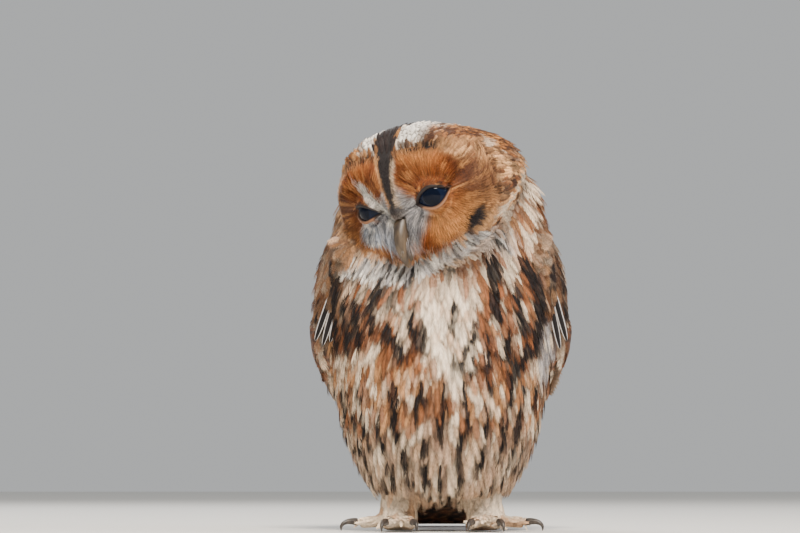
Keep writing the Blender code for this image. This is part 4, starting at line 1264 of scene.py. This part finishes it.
def vane_piece(name, feathers, material, slot):
    """One mesh of many laid vanes. Each feather is (grid, root place, tint, marks)."""
    points, faces, vane, tints, marked, chance, places = [], [], [], [], [], [], []
    rows, columns = len(ALONG), len(ACROSS)
    for k, (grid, place_there, tone, mark) in enumerate(feathers):
        first = len(points)
        points += [tuple(p * MM) for p in grid.reshape(-1, 3)]
        luck = (k * 0.618) % 1.0
        for i, j in np.ndindex(rows, columns):
            vane.append((ACROSS[j], ALONG[i], (k * 0.37) % 1.0))
            places.append(place_there + (ACROSS[j] * BAKE_PATCH / 2, (ALONG[i] - 0.5) * BAKE_PATCH))
        tints += [(*tone, 1)] * (rows * columns)
        marked += [mark] * (rows * columns)
        chance += [luck] * (rows * columns)
        for i, j in np.ndindex(rows - 1, columns - 1):
            a = first + i * columns + j
            faces.append((a, a + 1, a + columns + 1, a + columns))
    mesh = bpy.data.meshes.new(name)
    mesh.from_pydata(points, [], faces)
    keep_attribute(mesh, "vane", "FLOAT_VECTOR", vane)
    keep_attribute(mesh, "tint", "FLOAT_COLOR", tints)
    keep_attribute(mesh, "marks", "FLOAT_VECTOR", marked)
    keep_attribute(mesh, "chance", "FLOAT", chance)
    corner = np.zeros(len(mesh.loops), np.int32)
    mesh.loops.foreach_get("vertex_index", corner)
    mesh.uv_layers.new(name=UV_MAP).data.foreach_set("uv", np.array(places)[corner].ravel())
    shade_smooth(mesh)
    mesh.materials.append(material)
    piece = link(name, mesh)
    pieces.append((piece, slot))
    print(f"{name}: {len(feathers)} feathers, {2 * len(faces)} triangles")


# %% The folded wings
WING_LEAD = np.array([(61, -30, 168), (70, -14, 138), (74.5, 4, 104), (64.5, 42, 76), (38, 94, 52),
                      (22, 140, 32), (14, 176, 14)], float)
WING_TRAIL = np.array([(59, 4, 194), (64, 42, 176), (46, 80, 148), (20, 103, 113), (8, 125, 78),
                       (3, 151, 50), (3, 178, 25)], float)


def wing_surface(side):
    """Point and outward direction of a folded wing, by how far towards the tip and the upper edge it is."""
    steps = np.linspace(0, 1, len(WING_LEAD))

    def at(along, across):
        lead = np.array([np.interp(along, steps, WING_LEAD[:, k]) for k in range(3)])
        trail = np.array([np.interp(along, steps, WING_TRAIL[:, k]) for k in range(3)])
        return lead + (trail - lead) * across

    def surface(along, across):
        here = at(along, across)
        outward = unit(np.cross(at(along, across + 0.05) - here,
                                at(min(along + 0.05, 1.05), across) - here + 1e-6))
        outward = outward * (1 if outward[0] > 0 else -1)
        flip = np.array([side, 1, 1])
        return here * flip + HOME, outward * flip

    return surface


PRIMARY, SECONDARY = mix(BROWN, BUFF, 0.5), mix(RUFOUS, BUFF, 0.35)
for name, side in SIDES:
    surface = wing_surface(side)
    feathers = []
    for i in range(9):
        root = np.array([0.42, 0.12 + 0.045 * i])
        tip = np.array([0.985 - 0.025 * abs(i - 3), 0.14 + 0.07 * i])
        pale = 0.95 if i < 3 else 0.35
        grid, spot = laid_vane(surface, root, tip, 5.5, 0.5 + 0.22 * i, 0.72)
        feathers.append((grid, spot, PRIMARY, (0.9, 0.75, pale)))
    for i in range(9):
        root = np.array([0.30, 0.22 + 0.070 * i])
        tip = np.array([0.70 - 0.012 * i, 0.16 + 0.070 * i])
        grid, spot = laid_vane(surface, root, tip, 7.0, 2.0 + 0.22 * i, 0.80)
        feathers.append((grid, spot, SECONDARY, (0.7, 0.9, 0.3)))
    vane_piece(f"flight_feathers_{name}", feathers, flight_keratin, "brown_feathers")
    feathers = []
    for row, (start, length, half, layer) in enumerate(((0.34, 0.17, 6.5, 4.2), (0.26, 0.14, 6.0, 4.9))):
        for i in range(11):
            root = np.array([start, 0.10 + 0.076 * i])
            tip = root + (length * (0.85 + 0.02 * i), -0.04)
            grid, spot = laid_vane(surface, root, tip, half, layer + 0.08 * i, 0.72)
            tone = mix(BROWN, RUFOUS if (i + row) % 3 else BUFF, 0.5)
            feathers.append((grid, spot, tone, (0.6, 0.7, 0.6 if (2 * i + row) % 5 == 0 else 0.12)))
    vane_piece(f"greater_coverts_{name}", feathers, covert_keratin, "brown_feathers")

# %% Primaries that show beside the breast
def front_surface(x, z):
    """Point in front of the bird, and the way towards it."""
    return np.array([x, -40.0, z]) + HOME, np.array([0.0, -1.0, 0.0])


feathers = []
for root_x, root_z, tip_x, tip_z in ((-65, 146, -76, 114), (-62, 145, -71.5, 111), (-59, 144, -67, 113),
                                     (67, 146, 75.5, 114), (64.5, 145, 71.5, 109)):
    grid, spot = laid_vane(front_surface, np.array([root_x, root_z]), np.array([tip_x, tip_z]), 1.9, 0.6, 0.6)
    feathers.append((grid, spot, DARK, (0.2, 0.2, 1.0)))
vane_piece("primaries_beside_breast", feathers, edged_keratin, "brown_feathers")


# %% The tail
def tail_surface(across, back):
    """Point over the tail: across in mm, back in mm from the middle of the bird."""
    return np.array([across, back, 30.0]) + HOME, np.array([0.0, 0.0, 1.0])


feathers = []
for i in sorted(range(-6, 6), key=lambda i: -abs(i + 0.5)):
    root = np.array([(i + 0.5) * 2.4, 96.0])
    tip = np.array([(i + 0.5) * 5.0, 195.0 - 1.6 * abs(i + 0.5)])
    grid, spot = laid_vane(tail_surface, root, tip, 7.0, 0.8 + 0.16 * (6 - abs(i + 0.5)), 0.86)
    feathers.append((grid, spot, mix(BROWN, RUFOUS, 0.5), (0.7, 0.8, 0.3)))
vane_piece("tail_feathers", feathers, flight_keratin, "brown_feathers")

# %% [markdown]
# ## Eyes
# The eyes look almost black: a dark iris round a wide pupil, under a wet coat on a cornea that bulges a
# little; their navy tint is a painted sky reflection. Each eye is a fine ball with that bulge, and its colour
# follows rings round the gaze.

# %% Eyeballs
IRIS_ANGLE = 38.0
PUPIL_ANGLE = 24.0
EYEBALL_GAP = 0.25
CORNEA_BULGE = 0.75


def eyeball(name, side):
    bm = bmesh.new()
    bmesh.ops.create_uvsphere(bm, u_segments=64, v_segments=48, radius=1.0)
    mesh = bpy.data.meshes.new(name)
    bm.to_mesh(mesh)
    bm.free()
    ball = points_of(mesh) * MM
    gaze_angle = np.degrees(np.arccos(np.clip(ball[:, 2], -1, 1)))
    radius = EYE_RADIUS - EYEBALL_GAP + CORNEA_BULGE * (1 - smooth(gaze_angle, 8, IRIS_ANGLE + 8))
    axes = eye_axes(side)
    turned = ball[:, [2]] * axes[:, 0] + ball[:, [0]] * axes[:, 1] + ball[:, [1]] * axes[:, 2]
    put_points(mesh, EYES[side] + turned * radius[:, None])
    keep_attribute(mesh, "ring", "FLOAT", gaze_angle / 90)
    shade_smooth(mesh)
    bm = bmesh.new()
    bm.from_mesh(mesh)
    bmesh.ops.recalc_face_normals(bm, faces=bm.faces)
    bm.to_mesh(mesh)
    bm.free()
    return link(name, mesh)


def wet_eye_material():
    """A dark iris and pupil under a wet cornea: nearly black with a painted navy sky reflection, and clear,
    sharp reflections.
    """
    material, tree, shader = new_material("wet_dark_cornea")
    ring = attribute(tree, "ring").outputs["Fac"]
    where = add(tree, "ShaderNodeTexCoord").outputs["Object"]
    fibre = add(tree, "ShaderNodeTexNoise", {"Vector": where, "Scale": 1400.0, "Detail": 2.0}).outputs["Fac"]
    # The navy of iris and pupil is a painted sky reflection on eyes that are dark brown-black.
    iris = add(tree, "ShaderNodeMix", {"Factor_Float": fibre, "A_Color": (*colour("#0A1122"), 1),
                                       "B_Color": (*colour("#101A30"), 1)}, data_type="RGBA").outputs[2]
    inside = add(tree, "ShaderNodeMapRange", {"Value": ring, "From Min": PUPIL_ANGLE / 90,
                                              "From Max": (PUPIL_ANGLE + 3) / 90},
                 interpolation_type="SMOOTHSTEP").outputs[0]
    final = add(tree, "ShaderNodeMix", {"Factor_Float": inside, "A_Color": (*colour("#050B1A"), 1),
                                        "B_Color": iris}, data_type="RGBA").outputs[2]
    tree.links.new(final, shader.inputs["Base Color"])
    shader.inputs["Roughness"].default_value = 0.08
    shader.inputs["IOR"].default_value = 1.376
    shader.inputs["Specular IOR Level"].default_value = 0.12
    shader.inputs["Coat Weight"].default_value = 0.12
    shader.inputs["Coat Roughness"].default_value = 0.03
    return material


wet_eye = wet_eye_material()
for name, side in SIDES:
    eye = eyeball(f"eyeball_{name}", side)
    eye.data.materials.append(wet_eye)
    pieces.append((eye, "eye"))
    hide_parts(f"eye_{name}")
print("eyes made")

# %% [markdown]
# ## Bill and claws
# Both are horn: keratin that grows in layers, olive on the bill and darkened there by painted shade, and
# near black on the claws, with a dull polish and fine growth lines. The solids have the right shapes but
# few faces, so merged copies of them are rounded with two subdivision steps.

# %% Horn


def horn(name, dark, light, grain_scale):
    """Horn: streaky growth layers, worn smooth."""
    material, tree, shader = new_material(name)
    where = add(tree, "ShaderNodeTexCoord").outputs["Object"]
    stretched = add(tree, "ShaderNodeMapping", {"Vector": where, "Scale": (1.0, 1.0, 0.25)}).outputs[0]
    layers = add(tree, "ShaderNodeTexNoise", {"Vector": stretched, "Scale": grain_scale, "Detail": 4.0,
                                              "Distortion": 0.4}).outputs["Fac"]
    contrast = add(tree, "ShaderNodeMapRange", {
        "Value": layers, "From Min": 0.32, "From Max": 0.68}).outputs[0]
    final = add(tree, "ShaderNodeMix", {"Factor_Float": contrast, "A_Color": (*colour(dark), 1),
                                        "B_Color": (*colour(light), 1)}, data_type="RGBA").outputs[2]
    tree.links.new(final, shader.inputs["Base Color"])
    relief = add(tree, "ShaderNodeBump", {"Height": layers, "Strength": 0.25, "Distance": 0.0003}).outputs[0]
    tree.links.new(relief, shader.inputs["Normal"])
    shader.inputs["Roughness"].default_value = 0.46
    shader.inputs["IOR"].default_value = 1.56
    return material


def rounded_copy(name, node, material):
    bm = merged((node,))
    mesh = bpy.data.meshes.new(name)
    bm.to_mesh(mesh)
    bm.free()
    obj = link(name, mesh)
    smoothing = obj.modifiers.new("rounding", "SUBSURF")
    smoothing.levels = smoothing.render_levels = 2
    mesh = evaluated_mesh(obj)
    mesh.name = name
    bpy.data.objects.remove(obj)
    shade_smooth(mesh)
    mesh.materials.append(material)
    piece = link(name, mesh)
    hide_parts(node)
    return piece


# The bill's olive horn colours are darkened with painted shade.
bill_horn = horn("olive_bill_horn", "#281F17", "#62503A", 260.0)
claw_horn = horn("dark_claw_horn", "#1B1614", "#4A4038", 420.0)
for node in ("bill_upper", "bill_lower"):
    pieces.append((rounded_copy(node + "_horn", node, bill_horn), "bill"))
for node in frame["nodes"]:
    if node.startswith("claw"):
        pieces.append((rounded_copy(node + "_horn", node, claw_horn), "claw"))
print("horn pieces:", sum(slot in ("bill", "claw") for _, slot in pieces))

# %% [markdown]
# ## Put the pieces on the body
# The skin stands for all the flesh solids. Every piece rides on the one body, because the bird is a
# still model with no joints.

# %% Ride and replace
for spent in ("lie", "size", "vane") + tuple("cover_" + name for name in cover):
    if spent in skin_mesh.attributes:
        skin_mesh.attributes.remove(skin_mesh.attributes[spent])
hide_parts(*FLESH)
pieces.append((skin, "buff_feathers"))
for obj in (soft_plume, cap_plume, covert, hair_plume, streak_plume, leg_tuft, face_bristles):
    bpy.data.objects.remove(obj)
for piece, slot in pieces:
    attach(piece, "root")
print("triangles in all:", sum(triangles_in(piece.data) for piece, _ in pieces))
